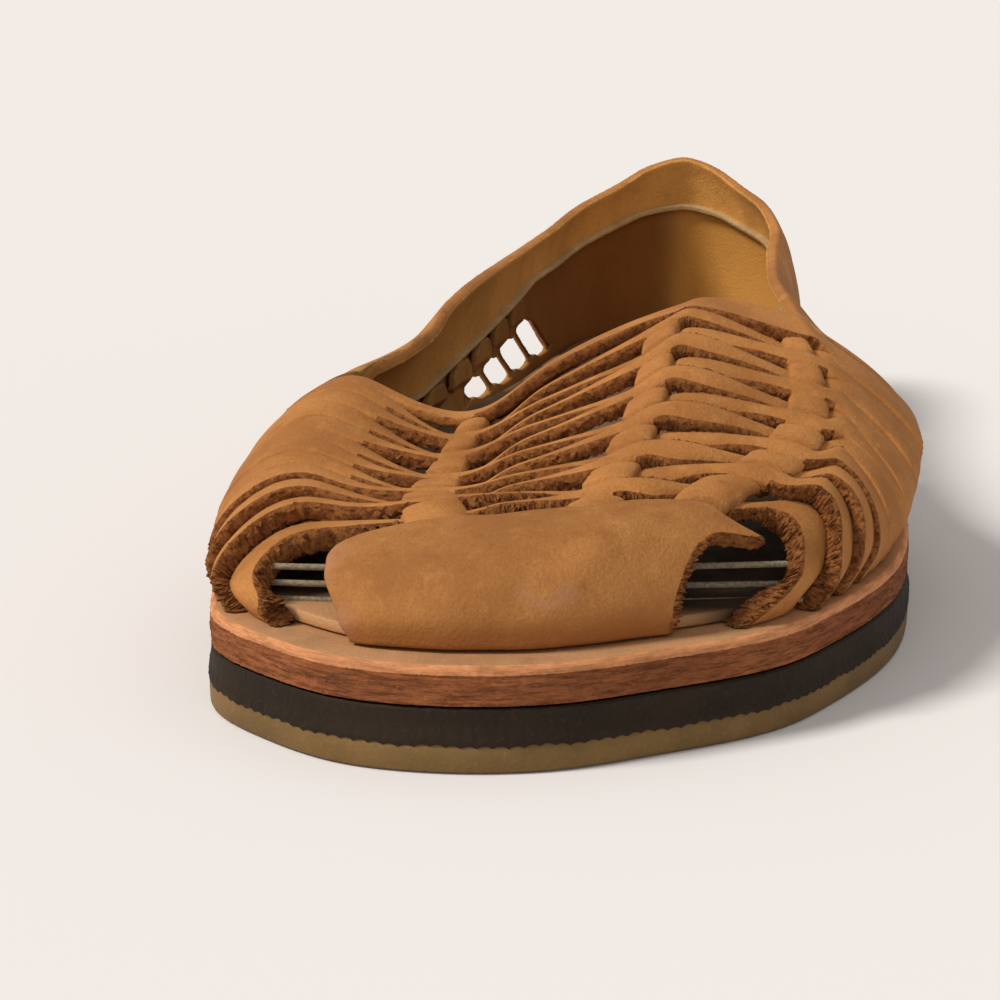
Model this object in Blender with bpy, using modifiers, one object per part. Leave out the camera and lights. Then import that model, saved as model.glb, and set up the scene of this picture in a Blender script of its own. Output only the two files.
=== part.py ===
"""Huarache sandal, a left shoe: a woven leather slip-on on a flat three layer sole.

Metres, +Z up. The toe points to -Y and the medial side lies at -X. The origin is the middle
of the footprint on the floor. Station means the distance behind the tip of the toe.
"""

import math

import bpy
import bmesh
import numpy as np

# Driving sizes
LENGTH = 0.285
BALL_WIDTH = 0.1115
INSTEP_RISE = 0.037
OUTSOLE_THICK = 0.0042
MIDSOLE_THICK = 0.0049
TOP_SOLE_THICK = 0.0060
FOOTBED_THICK = 0.0018
CLEAR = 0.0003

# The middle of the width lies this far from the line that sides are counted from
MIDDLE_SIDE = 0.0029

# Sole details
TOE_SPRING = 0.0002
TOE_SPRING_REACH = 0.034
ARCH_LIFT = 0.0012
ARCH_FROM = 0.118
ARCH_TO = 0.205
RIM_ROUND = 0.0010
FOOTBED_ROUND = 0.0005
SOLE_POINTS = 96
FOOT_SAMPLES = 720
OUTSOLE_PROUD = 0.0004
FOOTBED_GAP = 0.0006

# The upper's wall and where it stands on the sole
WALL = 0.0024
TOE_MARGIN = 0.0055
SIDE_MARGIN = 0.0027
TOE_MARGIN_REACH = 0.030
FLANK_BULGE = 0.0050
QUARTER_BULGE = 0.0014

# The weave over the forefoot
STRIPS = 7
STRIP_SHARE = 0.80
STRIP_RAISE = 0.0020
FINGER_RAISE = 0.0011
BAND_RAISE = 0.0010
BAND_ROWS = 9
BAND_FLARE = 1.6

# The side strips, the collar strap and the heel counter
SIDE_STRIPS = 9
SIDE_STRIP_SHARE = 0.30
SIDE_STRIP_RAISE = -0.0008
WEAVE_END = 0.60
COLLAR_RAISE = 0.0012
COUNTER_RAISE = 0.0009
HEEL_ROWS = 12
QUARTER_HEIGHT = 0.0295

# Footprint of the sole, once round from the tip of the toe along the medial side:
# station as a share of LENGTH, side as a share of BALL_WIDTH
FOOTPRINT = (
    (0.000, -0.063),
    (0.006, -0.197),
    (0.037, -0.323),
    (0.070, -0.404),
    (0.123, -0.448),
    (0.228, -0.475),
    (0.333, -0.462),
    (0.456, -0.381),
    (0.579, -0.311),
    (0.702, -0.268),
    (0.814, -0.232),
    (0.912, -0.182),
    (0.982, -0.075),
    (1.000, 0.055),
    (0.984, 0.179),
    (0.933, 0.287),
    (0.860, 0.336),
    (0.754, 0.350),
    (0.632, 0.386),
    (0.519, 0.453),
    (0.393, 0.516),
    (0.309, 0.525),
    (0.218, 0.498),
    (0.140, 0.422),
    (0.093, 0.354),
    (0.042, 0.197),
    (0.009, 0.054),
)
HEEL_ROW = 13

# Cross sections of the forefoot. Each key line has its side, as a share of BALL_WIDTH, and its
# height over the sole, as a share of INSTEP_RISE, at each of the stations
SECTION_STATIONS = (0.060, 0.105, 0.175, 0.246, 0.316, 0.386)
SECTIONS = {
    "left_shoulder": (
        (-0.270, 0.240), (-0.332, 0.284), (-0.368, 0.446), (-0.359, 0.581), (-0.332, 0.662), (-0.323, 0.725),
    ),
    "finger_1": (
        (-0.085, 0.370), (-0.099, 0.384), (-0.143, 0.351), (-0.157, 0.432), (-0.139, 0.527), (-0.126, 0.590),
    ),
    "between": (
        (0.000, 0.405), (-0.009, 0.420), (-0.027, 0.459), (-0.027, 0.568), (-0.009, 0.730), (0.018, 0.820),
    ),
    "finger_2": (
        (0.080, 0.415), (0.081, 0.432), (0.108, 0.554), (0.126, 0.716), (0.143, 0.875), (0.161, 0.930),
    ),
    "ridge": (
        (0.150, 0.415), (0.161, 0.438), (0.188, 0.568), (0.202, 0.743), (0.197, 0.895), (0.215, 0.942),
    ),
    "finger_3": (
        (0.215, 0.380), (0.233, 0.400), (0.314, 0.473), (0.354, 0.581), (0.350, 0.735), (0.314, 0.875),
    ),
    "right_shoulder": (
        (0.270, 0.270), (0.305, 0.297), (0.404, 0.351), (0.439, 0.473), (0.422, 0.649), (0.377, 0.790),
    ),
}
SECTION_KEYS = 10

# Where the weave starts and ends on each key line of a section, as shares of LENGTH:
# both soles' edges, flanks, shoulders, the fingers, between them and the ridge
WEAVE_REACH = (
    (0.042, 0.351),
    (0.056, 0.337),
    (0.084, 0.309),
    (0.116, 0.295),
    (0.116, 0.323),
    (0.119, 0.358),
    (0.126, 0.372),
    (0.147, 0.379),
    (0.140, 0.386),
    (0.105, 0.393),
    (0.088, 0.407),
)

# Places of the lengthwise lines of the weave, counted in section keys
LEFT_LINES = (0.0, 0.28, 0.68, 1.0, 1.35, 1.7, 2.0)
MIDDLE_LINES = (2.3, 2.6, 2.88, 3.22, 3.6, 4.0, 4.4, 4.72, 5.35, 5.7, 6.05, 6.4, 6.8, 7.25, 7.6)
RIGHT_LINES = (8.0, 8.3, 8.65, 9.0, 9.32, 9.72, 10.0)
FINGER_LINES = ((2.88, 3.22), (4.72, 5.35), (6.8, 7.25))
OPEN_SPANS = ((3.22, 4.72), (5.35, 6.8))
BAND_LINES = (2.3, 7.6)
BAND_FOOT = (0.062, -0.125)

# Collar of the quarters from the weave to the back of the heel: share of the way, height as a
# share of QUARTER_HEIGHT, and the inward lean of the left and the right wall, in metres
COLLAR = (
    (0.00, 0.90, 0.0140, 0.0120),
    (0.10, 0.94, 0.0125, 0.0125),
    (0.20, 0.97, 0.0075, 0.0118),
    (0.45, 1.00, 0.0015, 0.0070),
    (0.70, 1.05, 0.0010, 0.0050),
    (0.86, 1.26, 0.0025, 0.0045),
    (1.00, 1.55, 0.0045, 0.0045),
)
WINDOW_LINES = (1, 2)
COLLAR_LINE = 5


def spline(knots, values, at):
    """A smooth curve through the values, with each slope taken from both neighbours."""
    knots = np.asarray(knots, float)
    values = np.asarray(values, float)
    at = np.clip(at, knots[0], knots[-1])
    steps = np.diff(knots)[:, None]
    slopes = np.diff(values, axis=0) / steps
    before, after = steps[:-1], steps[1:]
    inner = (slopes[:-1] * after + slopes[1:] * before) / (before + after)
    tangents = np.vstack([slopes[:1], inner, slopes[-1:]])
    row = int(np.clip(np.searchsorted(knots, at, side="right") - 1, 0, len(knots) - 2))
    step = steps[row, 0]
    f = (at - knots[row]) / step
    start, end = values[row], values[row + 1]
    pull = step * (f * (1 - f) ** 2 * tangents[row] - f * f * (1 - f) * tangents[row + 1])
    return start + (end - start) * f * f * (3 - 2 * f) + pull


def smooth_step(f):
    f = min(max(f, 0.0), 1.0)
    return f * f * (3 - 2 * f)


def footprint_knots():
    """Footprint rows in metres, (side, station), with their distance round the sole."""
    rows = np.array([(side * BALL_WIDTH, station * LENGTH) for station, side in FOOTPRINT])
    closed = np.vstack([rows, rows[:1]])
    length = np.concatenate([[0.0], np.cumsum(np.linalg.norm(np.diff(closed, axis=0), axis=1))])
    return rows, length


ROWS, ROUND = footprint_knots()
GIRTH = ROUND[-1]


def footprint(along, inset=0.0):
    """Point of the sole's edge at a distance round it, moved inwards by inset."""
    around = [
        np.vstack([ROWS[-3:], ROWS, ROWS[:3]]),
        np.concatenate([ROUND[-4:-1] - GIRTH, ROUND[:-1], ROUND[:3] + GIRTH]),
    ]
    along = along % GIRTH
    point = spline(around[1], around[0], along)
    ahead = spline(around[1], around[0], along + 0.0005) - spline(around[1], around[0], along - 0.0005)
    ahead = ahead / np.linalg.norm(ahead)
    inward = np.array([ahead[1], -ahead[0]])
    return point + inset * inward, inward


def margin(station):
    """How far inside the sole's edge the upper stands."""
    share = max(0.0, 1.0 - station / TOE_MARGIN_REACH)
    return SIDE_MARGIN + (TOE_MARGIN - SIDE_MARGIN) * share ** 0.7


def foot_samples():
    """The upper's foot once round the sole: distance, side, station and the way inwards."""
    rows = []
    for along in np.linspace(0.0, GIRTH, FOOT_SAMPLES + 1):
        edge, _ = footprint(along)
        foot, inward = footprint(along, margin(edge[1]))
        rows.append((along, *foot, *inward))
    return np.array(rows)


FOOT = foot_samples()
HEEL_ALONG = ROUND[HEEL_ROW]
MEDIAL_FOOT = FOOT[FOOT[:, 0] <= HEEL_ALONG]
LATERAL_FOOT = FOOT[FOOT[:, 0] >= HEEL_ALONG][::-1]


def foot_point(along):
    """Where the upper's outer face stands on the sole, and the way inwards there."""
    side, station, in_side, in_station = (np.interp(along, FOOT[:, 0], FOOT[:, k]) for k in range(1, 5))
    return np.array([side, station]), np.array([in_side, in_station])


def foot_at_station(rows, station):
    """Distance round the sole and side of the upper's foot on one side at a station."""
    return np.interp(station, rows[:, 2], rows[:, 0]), np.interp(station, rows[:, 2], rows[:, 1])


def lift(station):
    """Height of the whole sole over the floor, from toe spring and arch."""
    toe = max(0.0, 1.0 - station / TOE_SPRING_REACH) ** 2 * TOE_SPRING
    arch = (station - ARCH_FROM) / (ARCH_TO - ARCH_FROM)
    waist = math.sin(math.pi * arch) ** 2 * ARCH_LIFT if 0 < arch < 1 else 0.0
    return toe + waist


SOLE_TOP = OUTSOLE_THICK + MIDSOLE_THICK + TOP_SOLE_THICK + 2 * CLEAR
UPPER_FOOT = SOLE_TOP + CLEAR


def place(side, station, height):
    """Model coordinates of a point given by side, station and height over the upper's foot."""
    return np.array([side - MIDDLE_SIDE, station - LENGTH / 2, height + UPPER_FOOT + lift(station)])


def section_point(station, key):
    """Point of the last's surface on a cross section, at a place counted in section keys."""
    share = station / LENGTH
    middle = [spline(SECTION_STATIONS, line, share) for line in SECTIONS.values()]
    middle = [pair * np.array([BALL_WIDTH, INSTEP_RISE]) for pair in middle]
    _, left = foot_at_station(MEDIAL_FOOT, station)
    _, right = foot_at_station(LATERAL_FOOT, station)
    left_flank = (left - FLANK_BULGE * middle[0][1] / INSTEP_RISE, middle[0][1] * 0.5)
    right_flank = (right + FLANK_BULGE * middle[-1][1] / INSTEP_RISE, middle[-1][1] * 0.5)
    keys = [(left, 0.0), left_flank, *middle, right_flank, (right, 0.0)]
    side, height = spline(range(len(keys)), keys, key)
    return side, height


def weave_point(u, key):
    """Point of the forefoot's surface: u runs from the first strip to the throat."""
    start, end = spline(range(len(WEAVE_REACH)), WEAVE_REACH, key)
    station = (start + (end - start) * u) * LENGTH
    side, height = section_point(station, key)
    return place(side, station, height)


def band_point(w, key):
    """Point of the toe band: w runs from its back edge to its foot on the sole."""
    top = weave_point(0.0, key)
    share = (key - BAND_LINES[0]) / (BAND_LINES[1] - BAND_LINES[0])
    along = BAND_FOOT[0] + (BAND_FOOT[1] - BAND_FOOT[0]) * share
    foot, _ = foot_point(along * LENGTH % GIRTH)
    foot = place(foot[0], foot[1], 0.0)
    forward = math.sin(w * math.pi / 2) ** 0.80
    upward = math.cos(w * math.pi / 2) ** 0.72
    point = top + (foot - top) * forward
    point[0] = top[0] + (foot[0] - top[0]) * forward ** BAND_FLARE
    point[2] = foot[2] + (top[2] - foot[2]) * upward
    return point


def collar_row(w):
    """Collar height and inward leans at a share of the way to the back of the heel."""
    rows = COLLAR + ((2 - COLLAR[-2][0], *COLLAR[-2][1:]),)
    return spline([row[0] for row in rows], [row[1:] for row in rows], w)


class Side:
    """One quarter, from the end of the weave to the back of the heel."""

    def __init__(self, lines, from_top):
        self.keys = lines
        joint_key = lines[-1] if from_top else lines[0]
        end = spline(range(len(WEAVE_REACH)), WEAVE_REACH, joint_key)[1] * LENGTH
        self.start, _ = foot_at_station(LATERAL_FOOT if from_top else MEDIAL_FOOT, end)
        self.lean_column = 2 if from_top else 1
        base, inward = foot_point(self.start)
        self.reach = []
        for key in lines:
            point = weave_point(1.0, key) - place(base[0], base[1], 0.0)
            flat = np.array([point[0], point[1]])
            self.reach.append((flat - inward * (flat @ inward), flat @ inward, point[2]))
        self.shares = [abs(key - joint_key) / 2 for key in lines]

    def point(self, w, line):
        along = self.start + (HEEL_ALONG - self.start) * w
        base, inward = foot_point(along)
        row = collar_row(w)
        share = self.shares[line]
        lean = row[self.lean_column] * share ** 2 - QUARTER_BULGE * math.sin(math.pi * share)
        height = row[0] * QUARTER_HEIGHT * share
        skew, first_lean, first_height = self.reach[line]
        hold = 1 - smooth_step(w / 0.22)
        lean += (first_lean - lean) * hold
        height += (first_height - height) * hold
        flat = base + inward * lean + skew * hold
        return place(flat[0], flat[1], height)


class Wall:
    """An open surface in the making, whose faces lie between shared points."""

    def __init__(self):
        self.mesh = bmesh.new()
        self.weight = self.mesh.verts.layers.float.new("raise")
        self.points = {}

    def add(self, name, place_at, normal, height, on_sole=False):
        if on_sole:
            normal = np.array([normal[0], normal[1], 0.0])
            normal = normal / np.linalg.norm(normal)
        vertex = self.mesh.verts.new(place_at + normal * height)
        vertex[self.weight] = height
        self.points[name] = vertex

    def face(self, *names):
        self.mesh.faces.new([self.points[name] for name in names])


def normal_of(surface, a, b, step):
    """Outward direction of a surface given as a function of two numbers."""
    along = surface(a + step, b) - surface(a - step, b)
    across = surface(a, b + step) - surface(a, b - step)
    direction = np.cross(across, along)
    return direction / np.linalg.norm(direction)


def weave_rows():
    """Rows across the weave, as (u, height over the last, strip or None for a gap)."""
    rows = []
    pitch = 1.0 / STRIPS
    for strip in range(STRIPS):
        start = strip * pitch
        width = pitch * STRIP_SHARE
        profile = ((0.00, 0.55), (0.16, 1.0), (0.55, 0.75), (1.00, 0.05))
        if strip == STRIPS - 1:
            width = pitch
        for share, height in profile:
            rows.append((start + width * share, height * STRIP_RAISE, strip))
    return rows


def build_upper(collection, material):
    """The whole upper: toe band, fingers, strips, quarters, collar strap and heel counter."""
    wall = Wall()
    lines = LEFT_LINES + MIDDLE_LINES + RIGHT_LINES
    rows = weave_rows()
    finger_edges = [edge for pair in FINGER_LINES for edge in pair]

    def weave_height(row, key):
        height = rows[row][1]
        if key in finger_edges:
            height = max(height, STRIP_RAISE * 0.6) + FINGER_RAISE * 0.5
        return height

    step = 0.01
    for r, (u, _, _) in enumerate(rows):
        for key in lines:
            inner_u = min(max(u, step), 1 - step)
            inner_key = min(max(key, step), SECTION_KEYS - step)
            normal = normal_of(weave_point, inner_u, inner_key, step)
            on_sole = key in (0.0, float(SECTION_KEYS))
            wall.add(("weave", r, key), weave_point(u, key), normal, weave_height(r, key), on_sole)

    for r in range(len(rows) - 1):
        gap = rows[r][2] != rows[r + 1][2]
        for a, b in zip(lines, lines[1:]):
            in_open_span = any(low <= a and b <= high for low, high in OPEN_SPANS)
            if gap and in_open_span:
                continue
            wall.face(("weave", r, a), ("weave", r, b), ("weave", r + 1, b), ("weave", r + 1, a))

    # The toe band hangs on the front row of the weave
    band_keys = [key for key in lines if BAND_LINES[0] <= key <= BAND_LINES[1]]
    for w_row in range(1, BAND_ROWS + 1):
        w = w_row / BAND_ROWS
        for key in band_keys:
            inner_w = min(w, 1 - step)
            inner_key = min(max(key, BAND_LINES[0] + step), BAND_LINES[1] - step)
            normal = -normal_of(band_point, inner_w, inner_key, step)
            height = BAND_RAISE if w < 0.999 else BAND_RAISE * 0.5
            wall.add(("band", w_row, key), band_point(w, key), normal, height, w_row == BAND_ROWS)
    for w_row in range(BAND_ROWS):
        for a, b in zip(band_keys, band_keys[1:]):
            near = ("band", w_row) if w_row else ("weave", 0)
            far = ("band", w_row + 1)
            wall.face((*near, b), (*near, a), (*far, a), (*far, b))

    build_side(wall, Side(LEFT_LINES, False), "left", len(rows) - 1, False)
    build_side(wall, Side(RIGHT_LINES, True), "right", len(rows) - 1, True)
    return finish_wall(wall, "upper", collection, material)


def side_rows():
    """Rows along a quarter, as (share of the way, strip height, whether a gap follows)."""
    rows = []
    pitch = WEAVE_END / SIDE_STRIPS
    for strip in range(SIDE_STRIPS):
        start = strip * pitch
        gap = pitch * (1 - SIDE_STRIP_SHARE)
        rows.append((start + gap, SIDE_STRIP_RAISE, False))
        rows.append((start + gap + (pitch - gap) / 2, SIDE_STRIP_RAISE * 1.2, False))
        rows.append((start + pitch, SIDE_STRIP_RAISE, strip < SIDE_STRIPS - 1))
    for row in range(1, HEEL_ROWS + 1):
        share = WEAVE_END + (1 - WEAVE_END) * row / HEEL_ROWS
        rows.append((share, COUNTER_RAISE, False))
    return rows


def build_side(wall, side, name, last_weave_row, mirrored):
    """Adds one quarter, from the weave's last row to the back of the heel."""
    rows = side_rows()
    step = 0.004
    order = list(range(len(side.keys)))
    collar = 0 if mirrored else len(side.keys) - 1

    def vertex_name(row, line):
        if row < 0:
            return ("weave", last_weave_row, side.keys[line])
        if row == len(rows) - 1:
            share = round(side.shares[line], 3)
            return ("heel", share)
        return (name, row, line)

    for row, (w, height, _) in enumerate(rows):
        for line in order:
            if vertex_name(row, line) in wall.points:
                continue
            inner_w = min(max(w, step), 1 - step)
            along = side.point(inner_w + step, line) - side.point(inner_w - step, line)
            low, high = max(line - 1, 0), min(line + 1, len(order) - 1)
            across = side.point(inner_w, high) - side.point(inner_w, low)
            normal = np.cross(across, along)
            normal = normal / np.linalg.norm(normal)
            raised = height
            if abs(line - collar) <= len(order) - 1 - COLLAR_LINE:
                raised = max(raised, COLLAR_RAISE)
            on_sole = side.shares[line] == 0
            wall.add(vertex_name(row, line), side.point(w, line), normal, raised, on_sole)

    for row in range(-1, len(rows) - 1):
        gap = row < 0 or rows[row][2]
        for line in order[:-1]:
            low = line if not mirrored else len(order) - 2 - line
            if gap and WINDOW_LINES[0] <= low < WINDOW_LINES[1]:
                continue
            wall.face(
                vertex_name(row, line),
                vertex_name(row, line + 1),
                vertex_name(row + 1, line + 1),
                vertex_name(row + 1, line),
            )


def finish_wall(wall, name, collection, material):
    """Gives the open surface its thickness, with a smooth inner face behind the raised strips."""
    mesh = wall.mesh
    bmesh.ops.recalc_face_normals(mesh, faces=mesh.faces)
    heights = [vertex[wall.weight] for vertex in mesh.verts]
    data = bpy.data.meshes.new(name)
    mesh.to_mesh(data)
    mesh.free()
    piece = bpy.data.objects.new(name, data)
    collection.objects.link(piece)
    data.materials.append(material)
    group = piece.vertex_groups.new(name="thickness")
    most = WALL + max(heights)
    for index, height in enumerate(heights):
        group.add([index], (WALL + height) / most, "REPLACE")
    solid = piece.modifiers.new("Leather thickness", "SOLIDIFY")
    solid.thickness = most
    solid.offset = -1
    solid.vertex_group = group.name
    trim_foot(piece)
    return piece


def trim_foot(piece):
    """Keeps what the wall's thickness pushed down flat on the sole."""
    graph = bpy.context.evaluated_depsgraph_get()
    data = bpy.data.meshes.new_from_object(piece.evaluated_get(graph))
    for vertex in data.vertices:
        floor = place(0.0, vertex.co.y + LENGTH / 2, 0.0)[2]
        vertex.co.z = max(vertex.co.z, floor)
    piece.modifiers.clear()
    piece.data = data


def sole_ring(inset):
    """Points once round the sole's edge, moved inwards by inset."""
    return [footprint(GIRTH * k / SOLE_POINTS, inset)[0] for k in range(SOLE_POINTS)]


def footbed_ring():
    """Points once round inside the upper's wall."""
    ring = []
    for k in range(SOLE_POINTS):
        foot, inward = foot_point(GIRTH * k / SOLE_POINTS)
        ring.append(foot + inward * (WALL + FOOTBED_GAP))
    return ring


def sole_layer(name, bottom, thick, ring, rounding, collection, material):
    """A slab of an outline that follows the toe spring and the arch."""
    mesh = bmesh.new()
    ring = [mesh.verts.new((side - MIDDLE_SIDE, station - LENGTH / 2, bottom)) for side, station in ring]
    face = mesh.faces.new(ring)
    face.normal_update()
    if face.normal.z > 0:
        face.normal_flip()
    grown = bmesh.ops.extrude_face_region(mesh, geom=[face])
    top = [item for item in grown["geom"] if isinstance(item, bmesh.types.BMVert)]
    bmesh.ops.translate(mesh, verts=top, vec=(0, 0, thick))
    if rounding:
        edges = [edge for edge in mesh.edges if all(vertex in top for vertex in edge.verts)]
        bmesh.ops.bevel(mesh, geom=edges, offset=rounding, segments=3, affect="EDGES", profile=0.5)
    cuts = [TOE_SPRING_REACH * share for share in (0.15, 0.3, 0.45, 0.6, 0.8, 1.0)]
    cuts += [ARCH_FROM + (ARCH_TO - ARCH_FROM) * share / 8 for share in range(9)]
    for station in cuts:
        bmesh.ops.bisect_plane(
            mesh,
            geom=mesh.verts[:] + mesh.edges[:] + mesh.faces[:],
            plane_co=(0, station - LENGTH / 2, 0),
            plane_no=(0, 1, 0),
        )
    for vertex in mesh.verts:
        vertex.co.z += lift(vertex.co.y + LENGTH / 2)
    bmesh.ops.recalc_face_normals(mesh, faces=mesh.faces)
    data = bpy.data.meshes.new(name)
    mesh.to_mesh(data)
    mesh.free()
    piece = bpy.data.objects.new(name, data)
    collection.objects.link(piece)
    data.materials.append(material)
    return piece


def make_material(name, colour, roughness):
    material = bpy.data.materials.new(name)
    material.use_nodes = True
    shader = material.node_tree.nodes["Principled BSDF"]
    shader.inputs["Base Color"].default_value = (*colour, 1)
    shader.inputs["Roughness"].default_value = roughness
    shader.inputs["Metallic"].default_value = 0.0
    return material


def main():
    for leftover in list(bpy.data.objects):
        bpy.data.objects.remove(leftover)
    parts = bpy.data.collections.new("Huarache sandal")
    bpy.context.scene.collection.children.link(parts)

    camel = make_material("Camel nubuck", (0.45, 0.20, 0.065), 0.85)
    raw_leather = make_material("Raw sole leather", (0.31, 0.115, 0.045), 0.75)
    black_rubber = make_material("Black rubber", (0.022, 0.018, 0.014), 0.7)
    tan_rubber = make_material("Tan rubber", (0.25, 0.145, 0.06), 0.55)
    lining = make_material("Footbed leather", (0.27, 0.17, 0.10), 0.8)

    level = 0.0
    sole_layer("outsole", level, OUTSOLE_THICK, sole_ring(-OUTSOLE_PROUD), 0.0, parts, tan_rubber)
    level += OUTSOLE_THICK + CLEAR
    sole_layer("midsole", level, MIDSOLE_THICK, sole_ring(0.0), 0.0, parts, black_rubber)
    level += MIDSOLE_THICK + CLEAR
    sole_layer("top_sole", level, TOP_SOLE_THICK, sole_ring(0.0), RIM_ROUND, parts, raw_leather)
    level += TOP_SOLE_THICK + CLEAR
    sole_layer("footbed", level, FOOTBED_THICK, footbed_ring(), FOOTBED_ROUND, parts, lining)
    build_upper(parts, camel)


main()
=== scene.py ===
import math

import bpy
import numpy as np
from bpy.props import FloatProperty, FloatVectorProperty, PointerProperty
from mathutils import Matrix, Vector


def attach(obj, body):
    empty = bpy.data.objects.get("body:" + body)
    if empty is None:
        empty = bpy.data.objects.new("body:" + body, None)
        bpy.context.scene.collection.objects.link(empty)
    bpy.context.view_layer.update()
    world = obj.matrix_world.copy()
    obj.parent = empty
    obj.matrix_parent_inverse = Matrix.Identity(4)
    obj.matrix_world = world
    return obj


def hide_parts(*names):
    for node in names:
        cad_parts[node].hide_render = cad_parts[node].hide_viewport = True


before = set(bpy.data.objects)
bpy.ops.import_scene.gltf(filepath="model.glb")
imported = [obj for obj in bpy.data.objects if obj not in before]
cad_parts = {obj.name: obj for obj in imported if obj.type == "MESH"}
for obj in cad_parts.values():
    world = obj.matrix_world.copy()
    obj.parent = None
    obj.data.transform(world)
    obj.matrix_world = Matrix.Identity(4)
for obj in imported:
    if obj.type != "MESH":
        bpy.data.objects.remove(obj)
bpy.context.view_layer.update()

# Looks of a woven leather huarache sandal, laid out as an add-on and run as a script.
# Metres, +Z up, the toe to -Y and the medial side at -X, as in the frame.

bl_info = {
    "name": "Huarache sandal",
    "version": (1, 0, 0),
    "blender": (4, 5, 0),
    "location": "View3D > Sidebar > Huarache",
    "description": "Woven nubuck upper, raw leather and rubber sole, light and camera",
    "category": "Add Mesh",
}

# Driving sizes of the last and the sole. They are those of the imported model, except RIM_ROUND,
# which is 0.1 mm more.
LENGTH = 0.285
BALL_WIDTH = 0.1115
INSTEP_RISE = 0.037
OUTSOLE_THICK = 0.0042
MIDSOLE_THICK = 0.0049
TOP_SOLE_THICK = 0.0060
FOOTBED_THICK = 0.0018
FOOTBED_INSET = 0.0030
CLEAR = 0.0003
MIDDLE_SIDE = 0.0029
TOE_SPRING = 0.0002
TOE_SPRING_REACH = 0.034
ARCH_LIFT = 0.0012
ARCH_FROM = 0.118
ARCH_TO = 0.205
RIM_ROUND = 0.0011
OUTSOLE_PROUD = 0.0004
TOE_MARGIN = 0.0055
SIDE_MARGIN = 0.0027
TOE_MARGIN_REACH = 0.030
FLANK_BULGE = 0.0050
QUARTER_BULGE = 0.0014
QUARTER_HEIGHT = 0.0295
SOLE_TOP = OUTSOLE_THICK + MIDSOLE_THICK + TOP_SOLE_THICK + 2 * CLEAR
FOOT_SAMPLES = 720

# Footprint once round from the tip of the toe along the medial side:
# station as a share of LENGTH, side as a share of BALL_WIDTH
FOOTPRINT = (
    (0.000, -0.063), (0.006, -0.197), (0.037, -0.323), (0.070, -0.404), (0.123, -0.448),
    (0.228, -0.475), (0.333, -0.462), (0.456, -0.381), (0.579, -0.311), (0.702, -0.268),
    (0.814, -0.232), (0.912, -0.182), (0.982, -0.075), (1.000, 0.055), (0.984, 0.179),
    (0.933, 0.287), (0.860, 0.336), (0.754, 0.350), (0.632, 0.386), (0.519, 0.453),
    (0.393, 0.516), (0.309, 0.525), (0.218, 0.498), (0.140, 0.422), (0.093, 0.354),
    (0.042, 0.197), (0.009, 0.054),
)
HEEL_ROW = 13

# Cross sections of the forefoot: side as a share of BALL_WIDTH and height as a share of
# INSTEP_RISE, on each key line, at each of the stations
SECTION_STATIONS = (0.060, 0.105, 0.175, 0.246, 0.316, 0.386)
SECTIONS = (
    ((-0.270, 0.240), (-0.332, 0.284), (-0.368, 0.446), (-0.359, 0.581), (-0.332, 0.662), (-0.323, 0.725)),
    ((-0.085, 0.370), (-0.099, 0.384), (-0.143, 0.351), (-0.157, 0.432), (-0.139, 0.527), (-0.126, 0.590)),
    ((0.000, 0.405), (-0.009, 0.420), (-0.027, 0.459), (-0.027, 0.568), (-0.009, 0.730), (0.018, 0.820)),
    ((0.080, 0.415), (0.081, 0.432), (0.108, 0.554), (0.126, 0.716), (0.143, 0.875), (0.161, 0.930)),
    ((0.150, 0.415), (0.161, 0.438), (0.188, 0.568), (0.202, 0.743), (0.197, 0.895), (0.215, 0.942)),
    ((0.215, 0.380), (0.233, 0.400), (0.314, 0.473), (0.354, 0.581), (0.350, 0.735), (0.314, 0.875)),
    ((0.270, 0.270), (0.305, 0.297), (0.404, 0.351), (0.439, 0.473), (0.422, 0.649), (0.377, 0.790)),
)
LAST_KEY = 10
WEAVE_REACH = (
    (0.042, 0.351), (0.056, 0.337), (0.084, 0.309), (0.116, 0.295), (0.116, 0.323), (0.119, 0.358),
    (0.126, 0.372), (0.147, 0.379), (0.140, 0.386), (0.105, 0.393), (0.088, 0.407),
)
BAND_LINES = (2.3, 7.6)
BAND_FOOT = (0.062, -0.125)
BAND_FLARE = 1.6

# Collar from the weave to the back of the heel: share of the way, height as a share of
# QUARTER_HEIGHT, inward lean of the left and of the right wall. Between the holes and the heel
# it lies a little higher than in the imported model, as the photo has it.
COLLAR = (
    (0.00, 0.90, 0.0140, 0.0120),
    (0.10, 0.94, 0.0125, 0.0125),
    (0.20, 0.97, 0.0075, 0.0118),
    (0.45, 1.04, 0.0015, 0.0070),
    (0.70, 1.13, 0.0010, 0.0050),
    (0.86, 1.31, 0.0025, 0.0045),
    (1.00, 1.55, 0.0045, 0.0045),
)

# The weave: the paths of the three fingers as place along and key line, their half widths in
# keys at the toe and at the throat, and how much each rises where it leaves the toe band
FINGER_PATHS = (
    ((-0.15, 2.92), (0.20, 2.92), (0.45, 3.03), (0.70, 3.10), (1.00, 3.10)),
    ((-0.15, 5.10), (0.25, 5.22), (0.55, 5.20), (0.75, 5.10), (1.00, 4.98)),
    ((-0.15, 6.78), (0.02, 6.78), (0.12, 6.95), (0.30, 7.08), (1.00, 7.10)),
)
FINGER_HALF = ((0.18, 0.11), (0.32, 0.21), (0.27, 0.20))
FINGER_ROOT = (0.0, 0.0007, 0.0010)
STRIPS = 11
PITCH = 0.0835
FIRST_STRIP = 0.007

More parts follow.
